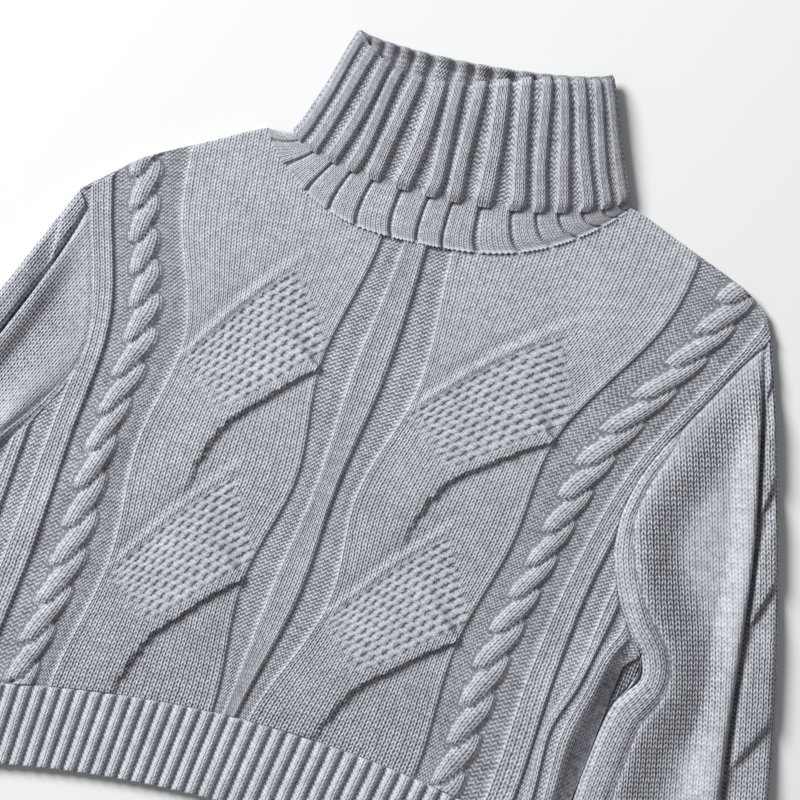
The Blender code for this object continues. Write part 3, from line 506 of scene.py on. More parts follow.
def laid_wall(name, loop, grid, lines, place, top, under, turn, spacing, material, values):
    """A laid wall with a rounded rim.

    loop, grid and lines are in the piece's flat plan, which place maps to the sweater's plan.
    top and under give the heights of the two surfaces, values the vectors kept at each point."""
    rings = [inset(loop, turn * share) for share in RIM_STEPS]
    closed = np.concatenate([rings[-1], rings[-1][:1]])
    count = len(loop)
    round_loop = [(i, (i + 1) % count) for i in range(count)]
    edges = [(k + i, k + j) for k in (0, (len(rings) - 1) * count) for i, j in round_loop]
    grid = grid[inside(grid, rings[-1]) & ~near(grid, closed, 0.5 * spacing)]
    points, at = list(rings), count * len(rings)
    for line in lines:
        clear = np.flatnonzero(inside(line, rings[-1]) & ~near(line, closed, 0.3 * spacing))
        for stretch in np.split(clear, np.flatnonzero(np.diff(clear) > 1) + 1):
            if len(stretch) < 2:
                continue
            grid = grid[~near(grid, line[stretch], 0.45 * spacing)]
            points.append(line[stretch])
            edges += [(at + i, at + i + 1) for i in range(len(stretch) - 1)]
            at += len(stretch)
    points = np.concatenate(points + [grid])
    level = np.ones(len(points))
    level[: count * len(rings)] = np.repeat(RIM_STEPS, count)
    found = delaunay_2d_cdt([Vector(p) for p in points], edges, [], 1, 1e-6)
    upper = np.array([tuple(v) for v in found[0]])
    source = [ids[0] if ids else -1 for ids in found[3]]
    share = np.array([level[i] if i >= 0 else 1.0 for i in source])
    round_off = np.sqrt(1 - (1 - share) ** 2)
    foot = under(upper)
    high = foot + RIM + (top(upper) - foot - RIM) * round_off
    order = {i: k for k, i in enumerate(source)}
    first = len(upper)
    faces = [tuple(f) for f in found[2]]
    sparse = grid[:: max(1, len(grid) // LOWER_POINTS)] if len(grid) > LOWER_FEW else grid[::5]
    lower_points = [Vector(p) for p in np.concatenate([loop, sparse])]
    found = delaunay_2d_cdt(lower_points, round_loop, [], 1, 1e-6)
    lower = np.array([tuple(v) for v in found[0]])
    low_order = {ids[0]: first + k for k, ids in enumerate(found[3]) if ids}
    faces += [tuple(first + i for i in reversed(f)) for f in found[2]]
    faces += [(order[i], low_order[i], low_order[j], order[j]) for i, j in round_loop]
    verts = [np.column_stack([place(upper), high]), np.column_stack([place(lower), under(lower)])]
    every = np.concatenate([upper, lower])
    kept = {key: rule(every) for key, rule in values.items()}
    return finish(name, np.concatenate(verts), faces, material, **kept)


def armhole(side, share):
    """Armhole seam of one side, in wales and courses, at shares from shoulder to underarm."""
    course = ARMHOLE[0, 0] + (ARMHOLE[-1, 0] - ARMHOLE[0, 0]) * np.asarray(share, float)
    return np.stack([side * through(ARMHOLE, 2 if side > 0 else 1, course), course], -1)


def body_outline(back):
    """Counter-clockwise outline of the front or back above its hem rib, in wales and courses."""
    bottom = np.linspace(-SIDE_WALE, SIDE_WALE, 241)
    outline = [np.stack([bottom, 0 * bottom], -1)]
    side = np.linspace(1, 42, 30)
    edge = SIDE_WALE - SIDE_TAPER * np.clip((side - 6) / 26, 0, 1)
    edge = edge + (UNDERARM_WALE - edge[-1]) * soft_step((side - 38.5) / 4.5)
    if back:
        edge = edge + through(BACK_REACH, 1, side)
    outline.append(np.stack([edge, side], -1))
    outline.append(armhole(1, np.linspace(0, 1, 60))[::-1])
    rise = np.linspace(0, 1, 24)
    wale = SHOULDER[0, 0] + (SHOULDER[-1, 0] - SHOULDER[0, 0]) * rise
    shoulder = np.stack([wale, np.interp(wale, SHOULDER[:, 0], SHOULDER[:, 1])], -1)
    outline.append(shoulder[::-1])
    neck = np.linspace(NECK_WALE, -NECK_WALE, 121)
    outline.append(np.stack([neck, back_neck_course(neck) if back else neck_course(neck)], -1))
    outline.append(shoulder * (-1, 1))
    outline.append(armhole(-1, np.linspace(0, 1, 60)))
    outline.append(np.stack([-edge, side], -1)[::-1])
    return np.concatenate(outline)


FLAT = np.array([WALE_MM, COURSE_MM])
body_place = knitted(lay)


def plan_area(loop):
    """Area inside a closed loop, in square metres."""
    ahead = np.roll(loop, -1, axis=0)
    return abs((loop[:, 0] * ahead[:, 1] - ahead[:, 0] * loop[:, 1]).sum()) / 2 * MM * MM


def step_lines():
    """Lines along the steps and upper edges of the top strands, in wales and courses."""
    lines = []
    width = PANEL_OUT - PANEL_IN
    below = np.linspace(0.8, 30, 60)
    above = np.linspace(0.04, 0.97, 45)
    for start in (-PANEL_OUT, PANEL_IN):
        for corner in CROSSINGS:
            for offset in (-0.42, 0.0, 0.42):
                edge = start + width * step_share(below) + offset
                lines.append(np.stack([edge, corner - below], -1) * FLAT)
            rise = corner - STRAND_FOOT + (STRAND_FOOT + STRAND_TIP_UP) * above
            lines.append(np.stack([start + width * STRAND_TIP * above, rise], -1) * FLAT)
    return lines


# The yarn: a cool grey marl, matt, with a soft nap. One stitch is a V of two legs on the plain
# side, a small wave on the purl side. Its colour runs from YARN_DARK, both the marl's dark fibres
# and painted shade in the hollows of the stitches, to YARN_LIGHT on their tops.
YARN_LIGHT = (0.56, 0.575, 0.62)
YARN_DARK = (0.085, 0.09, 0.105)
LEG_LEAN = 1.15  # courses by which a leg leans from the V's foot to its top
STITCH_DEPTH = 1.0  # millimetres
TURN = 2 * np.pi
FIBRE_SCALE, WAVER_SCALE, CLOUD_SCALE = 1300.0, 160.0, 28.0  # grain, sway and broad shade
BASKET_SCALE = 210.0
SLIT_DEPTH = 0.75
SLIT_LEAN = 0.11


def node(tree, kind, settings, inputs, output=0):
    """Adds a node with its type, then its settings, then the values and links of its sockets."""
    made = tree.nodes.new(kind)
    for key, value in settings.items():
        setattr(made, key, value)
    for key, value in inputs.items():
        if isinstance(value, Wire):
            tree.links.new(value.socket, made.inputs[key])
        else:
            made.inputs[key].default_value = value
    return Wire(tree, made.outputs[output])


class Wire:
    """A value on its way through a material, with arithmetic that adds Math nodes."""

    def __init__(self, tree, socket):
        self.tree = tree
        self.socket = socket

    def math(self, operation, *others):
        values = dict(enumerate((self, *others)))
        return node(self.tree, "ShaderNodeMath", {"operation": operation}, values)

    def reversed_math(self, operation, other):
        return node(self.tree, "ShaderNodeMath", {"operation": operation}, {0: other, 1: self})

    def __add__(self, other):
        return self.math("ADD", other)

    def __sub__(self, other):
        return self.math("SUBTRACT", other)

    def __mul__(self, other):
        return self.math("MULTIPLY", other)

    def __radd__(self, other):
        return self.reversed_math("ADD", other)

    def __rsub__(self, other):
        return self.reversed_math("SUBTRACT", other)

    def __rmul__(self, other):
        return self.reversed_math("MULTIPLY", other)

    def clamp(self):
        return self.math("MAXIMUM", 0.0).math("MINIMUM", 1.0)

    def bell(self, width):
        """1 where the value is 0, falling off over width."""
        return (self * self * (-1 / width**2)).math("EXPONENT")

    def blend(self, other, share):
        return self + (other - self) * share


def parts_of(tree, name):
    """The three values kept at each point under a name."""
    kept = node(tree, "ShaderNodeAttribute", {"attribute_name": name}, {}, "Vector")
    first = node(tree, "ShaderNodeSeparateXYZ", {}, {0: kept})
    return [Wire(tree, output) for output in first.socket.node.outputs]


def stitch_height(wale, course, purl, slack, excess):
    """Height of a stitch, about 0 to 1: two slanting legs with a cleft, or purl waves.

    slack opens the plain stitches, excess sinks the purl ones."""
    # The material also paints the low parts of a stitch darker, as painted shade; slack and excess
    # deepen that painted shade.
    side = (wale.math("FRACT") - 0.5).math("ABSOLUTE")
    leg = ((course - side * LEG_LEAN) * TURN).math("COSINE")
    legs = (side * (2 * TURN)).math("COSINE") * -0.2
    hole = side.bell(0.13) * (0.75 - leg * 0.25) * 0.3
    plain = (legs + leg * 0.2 - hole - 0.25) * slack + 0.74
    swing = (wale * TURN).math("COSINE")
    crest = ((course - swing * 0.26) * TURN).math("COSINE")
    wave = (crest * 0.5 + 0.5).math("POWER", 1.6) * (swing * swing * 0.35 + 0.65) + 0.07
    wave = wave * (1 - excess * 0.35)
    return plain.blend(wave, purl)


def basket_height(tree, tipness):
    """Strands that sway apart around dark slits in staggered rows, and how strongly they show."""
    across, along, shown = parts_of(tree, "strand")
    uneven = node(tree, "ShaderNodeTexNoise", {}, {"Scale": BASKET_SCALE, "Detail": 0.0})
    across = across + (uneven - 0.5) * 0.35
    along = along + (uneven - 0.5) * 0.6
    sway = (along * (TURN / 3)).math("COSINE")
    lean = (along * (TURN / 3)).math("SINE") * SLIT_LEAN
    row = (across + 0.5).math("FLOOR")
    ridge = across - row + (row * np.pi).math("COSINE") * sway * 0.13
    side = across.math("FRACT") - 0.5
    stagger = (across.math("FLOOR") * np.pi).math("COSINE")
    slit = (sway * stagger * 1.9 + 0.6 + tipness * 1.4).clamp()
    side = side + lean * stagger * (1 - tipness.clamp())
    beads = ((along - ridge * 0.8) * TURN).math("COSINE") * 0.1
    body = (ridge * TURN).math("COSINE") * 0.18
    shown = (shown * 1.5 - 0.25 + (uneven - 0.5) * 1.4).clamp()
    # The slits lie low, so the material paints them dark, as painted shade.
    return body + beads + 0.5 - side.bell(0.11) * slit * SLIT_DEPTH, shown


def knit_material(name, slack=None, has_basket=False):
    """Yarn in stitches of one looseness, or of the looseness kept at the points."""
    material = bpy.data.materials.new(name)
    material.use_nodes = True
    tree = material.node_tree
    shader = tree.nodes["Principled BSDF"]
    place = node(tree, "ShaderNodeTexCoord", {}, {}, "Object")
    wale, course, purl = parts_of(tree, "stitch")

    def noise(scale, detail):
        values = {"Vector": place, "Scale": scale, "Detail": detail}
        return node(tree, "ShaderNodeTexNoise", {}, values)

    waver = noise(WAVER_SCALE, 1.0)
    wale = wale + (waver - 0.5) * 0.35
    course = course + (waver - 0.5) * 0.5
    kept = parts_of(tree, "slack")
    excess = 0.0
    if slack is None:
        slack = kept[0]
        excess = (slack - 1.0).math("MAXIMUM", 0.0)
    height = stitch_height(wale, course, purl, slack, excess)
    cell = node(tree, "ShaderNodeCombineXYZ", {}, {0: wale.math("FLOOR"), 1: course.math("FLOOR")})
    chance = node(tree, "ShaderNodeTexWhiteNoise", {"noise_dimensions": "2D"}, {"Vector": cell})
    if has_basket:
        slits, shown = basket_height(tree, kept[1])
        height = height.blend(slits, shown)
    fibres = noise(FIBRE_SCALE, 2.0)
    broad = noise(CLOUD_SCALE, 2.0)
    # Painted shade: the lower a point of the stitch lies, the darker its colour, standing in for
    # the shade in the hollows between legs, in purl and in the basket stitch's slits; the fibre,
    # cell and cloud noise is the marl's own uneven tone.
    shade = (height * 0.85 + 0.1).clamp() + (fibres - 0.5) * 0.5
    shade = shade + (chance - 0.5) * 0.2 + (broad - 0.5) * 0.16
    settings = {"data_type": "RGBA", "clamp_factor": True}
    ends = {"Factor": shade, 6: (*YARN_DARK, 1), 7: (*YARN_LIGHT, 1)}
    colour = node(tree, "ShaderNodeMix", settings, ends, 2)
    tree.links.new(colour.socket, shader.inputs["Base Color"])
    raised = height + (fibres - 0.5) * 0.25
    relief = {"Strength": 0.8, "Distance": STITCH_DEPTH * MM, "Height": raised}
    bump = node(tree, "ShaderNodeBump", {}, relief)
    tree.links.new(bump.socket, shader.inputs["Normal"])
    shader.inputs["Roughness"].default_value = 0.95
    shader.inputs["Specular IOR Level"].default_value = 0.2
    shader.inputs["Sheen Weight"].default_value = 0.1
    shader.inputs["Sheen Roughness"].default_value = 0.6
    return material


def make_front():
    edges = [CENTRE_RIB, PANEL_IN, PANEL_OUT, BAND_IN, BAND_OUT, *np.ravel(SIDE_RIBS)]
    close = (np.array(edges)[:, None] + np.linspace(-1, 1, 7) * 0.75).ravel()
    wales = np.arange(0, 80, 0.52)
    wales = wales[np.abs(wales[:, None] - np.array(edges)).min(1) > 0.95]
    wales = np.unique(np.concatenate([wales, close]))
    drawn = np.linspace(PULL_WALES[3], PULL_WALES[4], 14)[1:]
    wales = np.concatenate([-wales[:0:-1], wales, drawn])
    courses = np.arange(0.2, 140, 0.62)
    grid = np.stack(np.meshgrid(wales, courses), -1).reshape(-1, 2) * FLAT
    outline = body_outline(False) * FLAT
    kept = {"stitch": knitted(front_stitches), "strand": knitted(basket)}
    kept["slack"] = knitted(slack_and_shade)
    yarn = knit_material("cable_knit_yarn", has_basket=True)

    def under(points):
        return FRONT_UNDER + knitted(front_lift)(points)

    def relief(points):
        return under(points) + WALL + knitted(front_relief)(points)

    shape = (outline, grid, step_lines(), body_place, relief, under, EDGE_TURN, FRONT_SPACING)
    return laid_wall("front_knit", *shape, yarn, kept), body_place(outline)


front, front_loop = make_front()
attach(front, "root")
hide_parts("front_panel")

# ---- Back ----
# One shaped piece in plain stockinette of the same yarn, its outer side down on the surface, with
# a shallower neck. It is sewn to the front at the sides and shoulders.
BACK_STITCHES = 1.32  # plan wales to one stitch
BACK_SLACK = 0.9
BACK_SPACING = 2.0
# Shallow hollows where the back doesn't touch the surface. Columns: from x, y, to x, y, height,
# half width.
BACK_CREASES = (
    (-150, -250, -60, -120, 0.9, 9),
    (-120, -90, -20, -60, 0.8, 11),
    (60, -80, 150, -170, 0.9, 10),
    (20, -330, 110, -250, 0.9, 12),
    (-170, -340, -110, -290, 0.8, 9),
    (130, -60, 165, -30, 0.7, 8),
)


def slack_only(slack):
    return np.column_stack([slack, 0 * slack, 0 * slack])


def back_stitches(wale, course):
    return np.column_stack([wale / BACK_STITCHES, course, 0 * wale])


def back_slack_and_shade(wale, course):
    # Painted shade where the back reaches out under the gap at the underarm: its stitches are made
    # looser, so darker.
    hollow = through(BACK_REACH, 1, course) / BACK_REACH[:, 1].max()
    loose = BACK_SLACK + HOLLOW_PAINTED_SHADE * hollow * soft_step(wale - SIDE_WALE + 1)
    return slack_only(loose)


def make_back():
    wales = np.arange(-80, 80, 1.0)
    courses = np.arange(0.5, 140, 1.0)
    grid = np.stack(np.meshgrid(wales, courses), -1).reshape(-1, 2) * FLAT
    outline = body_outline(True) * FLAT
    kept = {"stitch": knitted(back_stitches), "slack": knitted(back_slack_and_shade)}

    def flat(points):
        return np.full(len(points), WALL)

    def hollow(points):
        return segment_ridge(body_place(points), BACK_CREASES)

    shape = (outline, grid, [], body_place, flat, hollow, EDGE_TURN, BACK_SPACING)
    yarn = knit_material("plain_knit_yarn")
    return laid_wall("back_knit", *shape, yarn, kept), body_place(outline)


back, back_loop = make_back()
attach(back, "root")
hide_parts("back_panel")
back_size = np.ptp(back_loop, axis=0) * MM
front_size = np.ptp(front_loop, axis=0) * MM
plan_area(back_loop)
plan_area(front_loop)

# ---- Hem ribs ----
# Deep welts of narrow ribs, knitted on to the front and the back in the same yarn. The front one
# lies on the back one and hides all but its end.
RIB_DEPTH = 18.0  # courses
HEM_RIBS = 46
HEM_RIB_PITCH = 9.0  # in the flat plan
HEM_RIB_MM = 9.4  # the real ones
HEM_COURSE_MM = 3.0
WELT_TURN = 1.4
RIB_FLANKS = (0.17, 0.83)
RIB_FLANK = 0.34
RIB_KNIT = (0.13, 0.87)  # shares of the pitch between which the stitches are plain
RIB_KNIT_EDGE = 0.08
HEM_RIB_RISE = 3.2
WELT_STITCHES = np.array([(0, 0), (0.13, 0.5), (0.87, 2.5), (1, 3)])


def welt_stitches(ribs):
    """Count of the stitches at a place counted in ribs, and where they are purl."""
    turn = ribs % 1
    count = np.floor(ribs) * WELT_STITCHES[-1, 1] + np.interp(turn, *WELT_STITCHES.T)
    return count, 1 - plateau(turn, *RIB_KNIT, RIB_KNIT_EDGE)


def make_hem(name, under, rise, material):
    low, high = -RIB_DEPTH * COURSE_MM, SEAM_LAP
    half = HEM_RIBS / 2 * HEM_RIB_PITCH
    across = np.linspace(-half, half, HEM_RIBS * 10 + 1)
    up = np.linspace(low, high, 22)
    foot = np.stack([across, 0 * across + low], -1)
    head = np.stack([across[::-1], 0 * across + high], -1)
    side = np.stack([0 * up[1:-1] + half, up[1:-1]], -1)
    loop = np.concatenate([foot, side, head, (side * (-1, 1))[::-1]])
    grid = np.stack(np.meshgrid(across, np.linspace(low, high, 34)), -1).reshape(-1, 2)

    def place(points):
        course = points[:, 1] / COURSE_MM
        share = points[:, 0] / half
        skew = through(LAY, 4, course) * np.sign(share)
        return on_course(course, share * through(LAY, 10, course) * (1 + skew))

    def level(points):
        return np.full(len(points), under)

    def ribbed(points):
        turn = (points[:, 0] / HEM_RIB_PITCH) % 1
        return under + WALL + rise * plateau(turn, *RIB_FLANKS, RIB_FLANK)

    def stitches(points):
        count, purl = welt_stitches(points[:, 0] / HEM_RIB_PITCH)
        return np.column_stack([count, points[:, 1] / COURSE_MM, purl])

    shape = (loop, grid, [], place, ribbed, level, WELT_TURN, 1.0)
    return laid_wall(name, *shape, material, {"stitch": stitches}), place(loop)


welt_yarn = knit_material("welt_yarn", 0.6)
front_welt, welt_loop = make_hem("front_welt", FRONT_UNDER, HEM_RIB_RISE, welt_yarn)
back_welt, _ = make_hem("back_welt", 0.0, 0.0, welt_yarn)
welt_area = HEM_RIBS * HEM_RIB_MM * RIB_DEPTH * HEM_COURSE_MM * MM * MM
welt_area = min(plan_area(welt_loop), welt_area)
for welt, node_name, on in (
    (front_welt, "front_hem_rib", back_welt),
    (back_welt, "back_hem_rib", "floor"),
):
    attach(welt, "root")
    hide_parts(node_name)

# ---- Sleeves ----
# Each is one shaped piece of the same yarn closed along the underarm, plain with a purl groove and
# a cable of crossing strands along its outer fold. It is set into the armhole and lies flattened.
# Shoulder to cuff seam. Columns: outer x, y, inner x, y.
SLEEVE_RIGHT = np.array([
    (233, -46, 216, -268),
    (247, -84, 216.5, -273.5),
    (260, -124, 215, -281),
    (273, -165, 208.5, -291),
    (286, -208, 201.5, -304),
    (302, -267, 197.5, -332),
    (317, -330, 195.5, -370),
    (331, -395, 198, -420),
    (344, -458, 219, -474),
    (355, -518, 256, -530),
])
SLEEVE_LEFT = np.array([
    (-226, -85, -247, -287),
    (-240, -121, -250, -292),
    (-256, -162, -251, -300),
    (-273, -203, -252.5, -313),
    (-292, -243, -251.5, -330),
    (-316, -293, -251, -356),
    (-342, -348, -256, -392),
    (-369, -404, -271, -436),
    (-396, -460, -298, -486),
    (-420, -514, -325, -538),
])
# Width of the outer cable that shows in front. Columns: share of the length, width.
SLEEVE_CABLE = {
    1: np.array([(0, 6), (0.12, 13), (0.3, 20), (0.6, 30), (1, 34)]),
    -1: np.array([(0, 14), (0.1, 23), (0.3, 30), (0.6, 33), (1, 34)]),
}
SLEEVE_ROUND = 300.0  # all round at its widest
SLEEVE_ROWS = 220  # points along, across the front and across the underside
SLEEVE_ACROSS = 110
SLEEVE_BACK = 40
SLEEVE_TURN = 5.0
SLEEVE_CLEAR = -0.3
GROOVE_HALF = 2.1
GROOVE_BED = -0.5  # height of the groove's bed above the plain wall
CABLE_RISE = 6.0
CABLE_LOW = 0.3  # share of its rise where a strand comes out from under the last one
CABLE_CREASE = 0.06  # share of a crossing over which the strand above ends
CABLE_LEAN = 0.34  # share of a crossing by which its crease slants across the cable
SLEEVE_CROSS = 86.0
CABLE_START = 24.0
RIDGE_WIDTH = 7.0  # the field's crest, from the groove
RIDGE_FALL = 23.0
ROLL_FALL = 36.0
SEAM_GUTTER = 1.2  # depth of the sleeve's gutter along the armhole seam
FOLD_START = 0.14
FOLD_END = 0.2
UNDER_LIFT = 1.2
UNDER_FOLD = 0.7
UNDER_REACH = 4.5  # millimetres on either side over which the wall's inside takes the least height
CALM = 0.25  # share of the roll and the cable that is left at the ends
ROLL_FULL = 7.0  # width from which the roll has its full height
ROLL_BESIDE = (0.95, 0.1)  # share of its height beside it, and how much less beside a wide one
ROLL_WIDE = 14.0
SEAM_GUTTER_HALF = 2.0
# How the laid cloth stands. Columns: side, crest, roll, slope to the seam.
SLEEVE_SET = {1: (9.0, 8.5, 0.0), -1: (6.5, 2.6, 6.0)}
SLOPE_REACH = 52.0
ROLL_NOTCH = 1.2  # depth of the line beside the roll, and its half width
ROLL_LINE = 1.8
# How loose its stitches are, which sets the painted shade between them: least at the crest,
# painted lighter, and more in the valley, painted darker as the shade of the fold, and where that
# lies. Columns: side, least, more, distance of the valley's middle from the roll, its half width.
SLEEVE_SLACK_SHADE = {1: (0.6, 1.2, 17, 27), -1: (0.6, 0.85, 36, 28)}
VALLEY_START = 0.08  # share of the length from which the valley is there
CABLE_SLACK = 1.2
ROLL_SLACK = 0.9
# Width of the roll that follows the armhole seam and the inner edge. Columns: -y, width.
SLEEVE_ROLL = {
    1: np.array([(115, 0), (125, 3), (184, 8.6), (224, 14), (263, 17), (311, 21), (520, 17)]),
    -1: np.array([(170, 0), (240, 6), (300, 11), (520, 14)]),
}
# Soft creases on top, and hollows where the underside doesn't touch the surface. Columns: from x,
# y, to x, y, height, half width.
SLEEVE_CREASES = {
    1: (
        (322, -385, 262, -412, 1.4, 9),
        (338, -440, 300, -470, -1.2, 8),
        (262, -455, 318, -500, 1.3, 9),
        (300, -330, 262, -372, -0.9, 9),
    ),
    -1: (
        (-365, -420, -300, -440, 1.3, 9),
        (-330, -470, -372, -505, -1.1, 8),
        (-352, -392, -318, -352, -1.0, 9),
        (-402, -500, -352, -530, 1.2, 8),
    ),
}
SLEEVE_HOLLOWS = {
    1: (
        (230, -190, 262, -260, 0.8, 9),
        (240, -330, 300, -380, 0.8, 10),
        (270, -470, 330, -440, 0.7, 8),
    ),
    -1: (
        (-262, -230, -290, -300, 0.8, 9),
        (-280, -380, -340, -410, 0.8, 10),
        (-330, -500, -385, -470, 0.7, 8),
    ),
}
SLEEVE_WALE = 3.5  # millimetres
SLEEVE_COURSE = 3.2


def sleeve_plan(table, side, across, along):
    """Plan points of a sleeve: across is 0 to 1 from its outer edge, along 0 to 1 to its cuff."""
    rows = np.linspace(0, 1, len(table))
    marked = np.column_stack([rows, table])
    ends = [through(marked, k, along) for k in range(1, 5)]
    outer, inner = np.stack(ends[:2], -1), np.stack(ends[2:], -1)
    straight = outer + (inner - outer) * across[..., None]
    ahead, behind, seam = (armhole(side, np.clip(across + e, 0, 1)) for e in (0.002, -0.002, 0.0))
    on_seam = lay(*seam.T) + side * SLEEVE_CLEAR * left_of(lay(*ahead.T) - lay(*behind.T))
    chord = table[0, :2] + (table[0, 2:] - table[0, :2]) * across[..., None]
    fade = np.clip(1 - along / 0.5, 0, 1) ** 2
    return straight + (on_seam - chord) * fade[..., None]


def sleeve_top(run, from_seam, roll_width, along, length, side):
    """Height of the sleeve's upper layer: outer cable, groove, crest, valley and inner roll."""
    crest, roll, slope = SLEEVE_SET[side]
    groove = through(SLEEVE_CABLE[side], 1, along)
    ends = soft_step(along / FOLD_START) * soft_step((1 - along) / FOLD_END)
    calm = CALM + (1 - CALM) * ends
    past = run - groove
    field = crest * ends * soft_step(1 - (past - RIDGE_WIDTH) / RIDGE_FALL)
    field = field + slope * ends * soft_step(1 - from_seam / SLOPE_REACH)
    place = np.clip(from_seam / np.maximum(roll_width, 0.1), 0, 1)
    tube = np.clip(1 - (2 * place - 1) ** 4, 0, 1) ** 0.5
    fall = soft_step(1 - (from_seam - roll_width) / ROLL_FALL) * (from_seam > roll_width / 2)
    beside = (ROLL_BESIDE[0] - ROLL_BESIDE[1] * soft_step((roll_width - ROLL_WIDE) / 4)) * fall
    rolled = roll * calm * np.clip(roll_width / ROLL_FULL, 0, 1)
    field = np.maximum(field, rolled * np.maximum(tube, beside))
    turn = (along * length - CABLE_START) / SLEEVE_CROSS - CABLE_LEAN * run / np.maximum(groove, 1)
    turn = turn % 1
    bulge = soft_step(turn / 0.5) * soft_step((1 - turn) / CABLE_CREASE)
    place = np.clip(run / np.maximum(groove - 1, 1), 0, 1)
    tube = np.sqrt(np.clip(1 - (2 * place - 1) ** 4, 0, 1))
    cable = CABLE_RISE * calm * (CABLE_LOW + (1 - CABLE_LOW) * bulge) * tube
    cut = np.exp(-((past / GROOVE_HALF) ** 2))
    notch = ROLL_NOTCH * np.clip(roll_width / ROLL_FULL, 0, 1)
    field = field - notch * np.exp(-(((from_seam - roll_width) / ROLL_LINE) ** 2))
    field = field - SEAM_GUTTER * np.exp(-((from_seam / SEAM_GUTTER_HALF) ** 2))
    height = np.where(past < 0, cable, field) + PLAIN_RISE
    return height + (GROOVE_BED - height) * cut


def rounded(from_edge, turn):
    """0 at an edge, rising to 1 as a quarter circle over the width turn."""
    return np.sqrt(1 - (1 - np.clip(from_edge / turn, 0, 1)) ** 2)


def edge_marks(count, crowd):
    """Shares from 0 to 1, closer together at both ends."""
    even = np.linspace(0, 1, count)
    return even - crowd * np.sin(TURN * even) / TURN


def tube_rows(front, within, top, hollow_top, bottom, hollow_bottom, back):
    """Outer and inner ring of a laid tube: across the front, then back across the underside."""
    outer = [np.column_stack([front, top]), np.column_stack([front, bottom])[back]]
    inner = [np.column_stack([within, hollow_top]), np.column_stack([within, hollow_bottom])[back]]
    return np.concatenate(outer), np.concatenate(inner)


def ringed(name, rings, values, material):
    """A wall from rings of points with equal counts, joined round and round."""
    rings = np.asarray(rings, float)
    rows, count = rings.shape[:2]
    row, i = np.meshgrid(np.arange(rows), np.arange(count), indexing="ij")
    j, after = (i + 1) % count, (row + 1) % rows
    faces = np.stack([row * count + i, row * count + j, after * count + j, after * count + i], -1)
    kept = {key: np.asarray(v, float).reshape(-1, 3) for key, v in values.items()}
    return finish(name, rings.reshape(-1, 3), faces.reshape(-1, 4), material, **kept)


def make_sleeve(name, table, side, material):
    length = np.linalg.norm(table[-1, :2] - table[0, :2])
    axis = (table[-1, :2] - table[0, :2]) / length
    outward = side * np.array([-axis[1], axis[0]])
    marks = edge_marks(SLEEVE_ACROSS, 0.5)
    back = np.linspace(SLEEVE_ACROSS - 2, 1, SLEEVE_BACK).round().astype(int)
    outers, inners, kept, loose = [], [], [], []
    tight, more, valley, half = SLEEVE_SLACK_SHADE[side]
    shares = edge_marks(SLEEVE_ROWS, 0.3)
    seam = lay(*armhole(side, np.linspace(0, 1, 120)).T)
    inner_edge = sleeve_plan(table, side, np.ones(SLEEVE_ROWS), shares)
    seam = np.concatenate([seam, inner_edge])
    for share in shares:
        along = np.full(SLEEVE_ACROSS, share)
        front = sleeve_plan(table, side, marks, along)
        run = np.concatenate([[0], np.cumsum(np.linalg.norm(np.diff(front, axis=0), axis=1))])
        from_inner = run[-1] - run
        from_seam = np.linalg.norm(front[:, None] - seam[None], axis=-1).min(1)
        roll_width = through(SLEEVE_ROLL[side], 1, -front[:, 1])
        raised = sleeve_top(run, from_seam, roll_width, along, length, side)
        raised = raised + segment_ridge(front, SLEEVE_CREASES[side])
        edge = rounded(np.minimum(run, from_inner), SLEEVE_TURN)
        top = WALL + (FRONT_UNDER + raised) * edge
        close = np.abs(run[:, None] - run) < UNDER_REACH
        least = np.where(close, (raised * edge)[None], np.inf).min(1)
        fold = UNDER_FOLD * np.clip(least, 0, None) * soft_step(share / FOLD_START)
        pull = np.clip(WALL / run[-1], 0, 0.2)
        inside_plan = sleeve_plan(table, side, pull + marks * (1 - 2 * pull), along)
        hollow_top = FRONT_UNDER + SEAM_GAP * (edge > 0.99) + fold
        bottom = UNDER_LIFT * (1 - edge) + segment_ridge(front, SLEEVE_HOLLOWS[side]) * edge
        hollow_bottom = np.full(SLEEVE_ACROSS, WALL)
        outer, inner = tube_rows(front, inside_plan, top, hollow_top, bottom, hollow_bottom, back)
        outers.append(outer)
        inners.append(inner)
        ends = sleeve_plan(table, side, np.array([0.0, 1.0]), along[:2])
        across = (ends[0] - outer[:, :2]) @ outward
        count = -across / SLEEVE_WALE
        count[SLEEVE_ACROSS:] *= -1
        height = (outer[:, :2] - table[0, :2]) @ axis / SLEEVE_COURSE
        groove = through(SLEEVE_CABLE[side], 1, share)
        purl = np.zeros(len(outer))
        purl[:SLEEVE_ACROSS] = np.exp(-(((run - groove) / GROOVE_HALF) ** 2))
        on_roll = from_seam < roll_width
        count[:SLEEVE_ACROSS] = np.where(on_roll, from_seam / SLEEVE_WALE, count[:SLEEVE_ACROSS])
        kept.append(np.column_stack([count, -height, purl]))
        # Painted shade in the valley beside the roll, where the fold turns away from the light:
        # the stitches there are made looser, so darker; the crest keeps the least, so it is
        # painted lighter.
        sunk = soft_step(1 - np.abs(from_seam - roll_width - valley) / half)
        sunk = sunk * soft_step(share / VALLEY_START)
        rolling = (ROLL_SLACK - tight) * soft_step((roll_width - from_seam) / 3)
        slack = np.full(len(outer), tight)
        slack[:SLEEVE_ACROSS] = np.where(run > groove, tight + more * sunk + rolling, CABLE_SLACK)
        loose.append(slack_only(slack))
    values = {"stitch": kept + kept[::-1], "slack": loose + loose[::-1]}
    return ringed(name, outers + inners[::-1], values, material), length


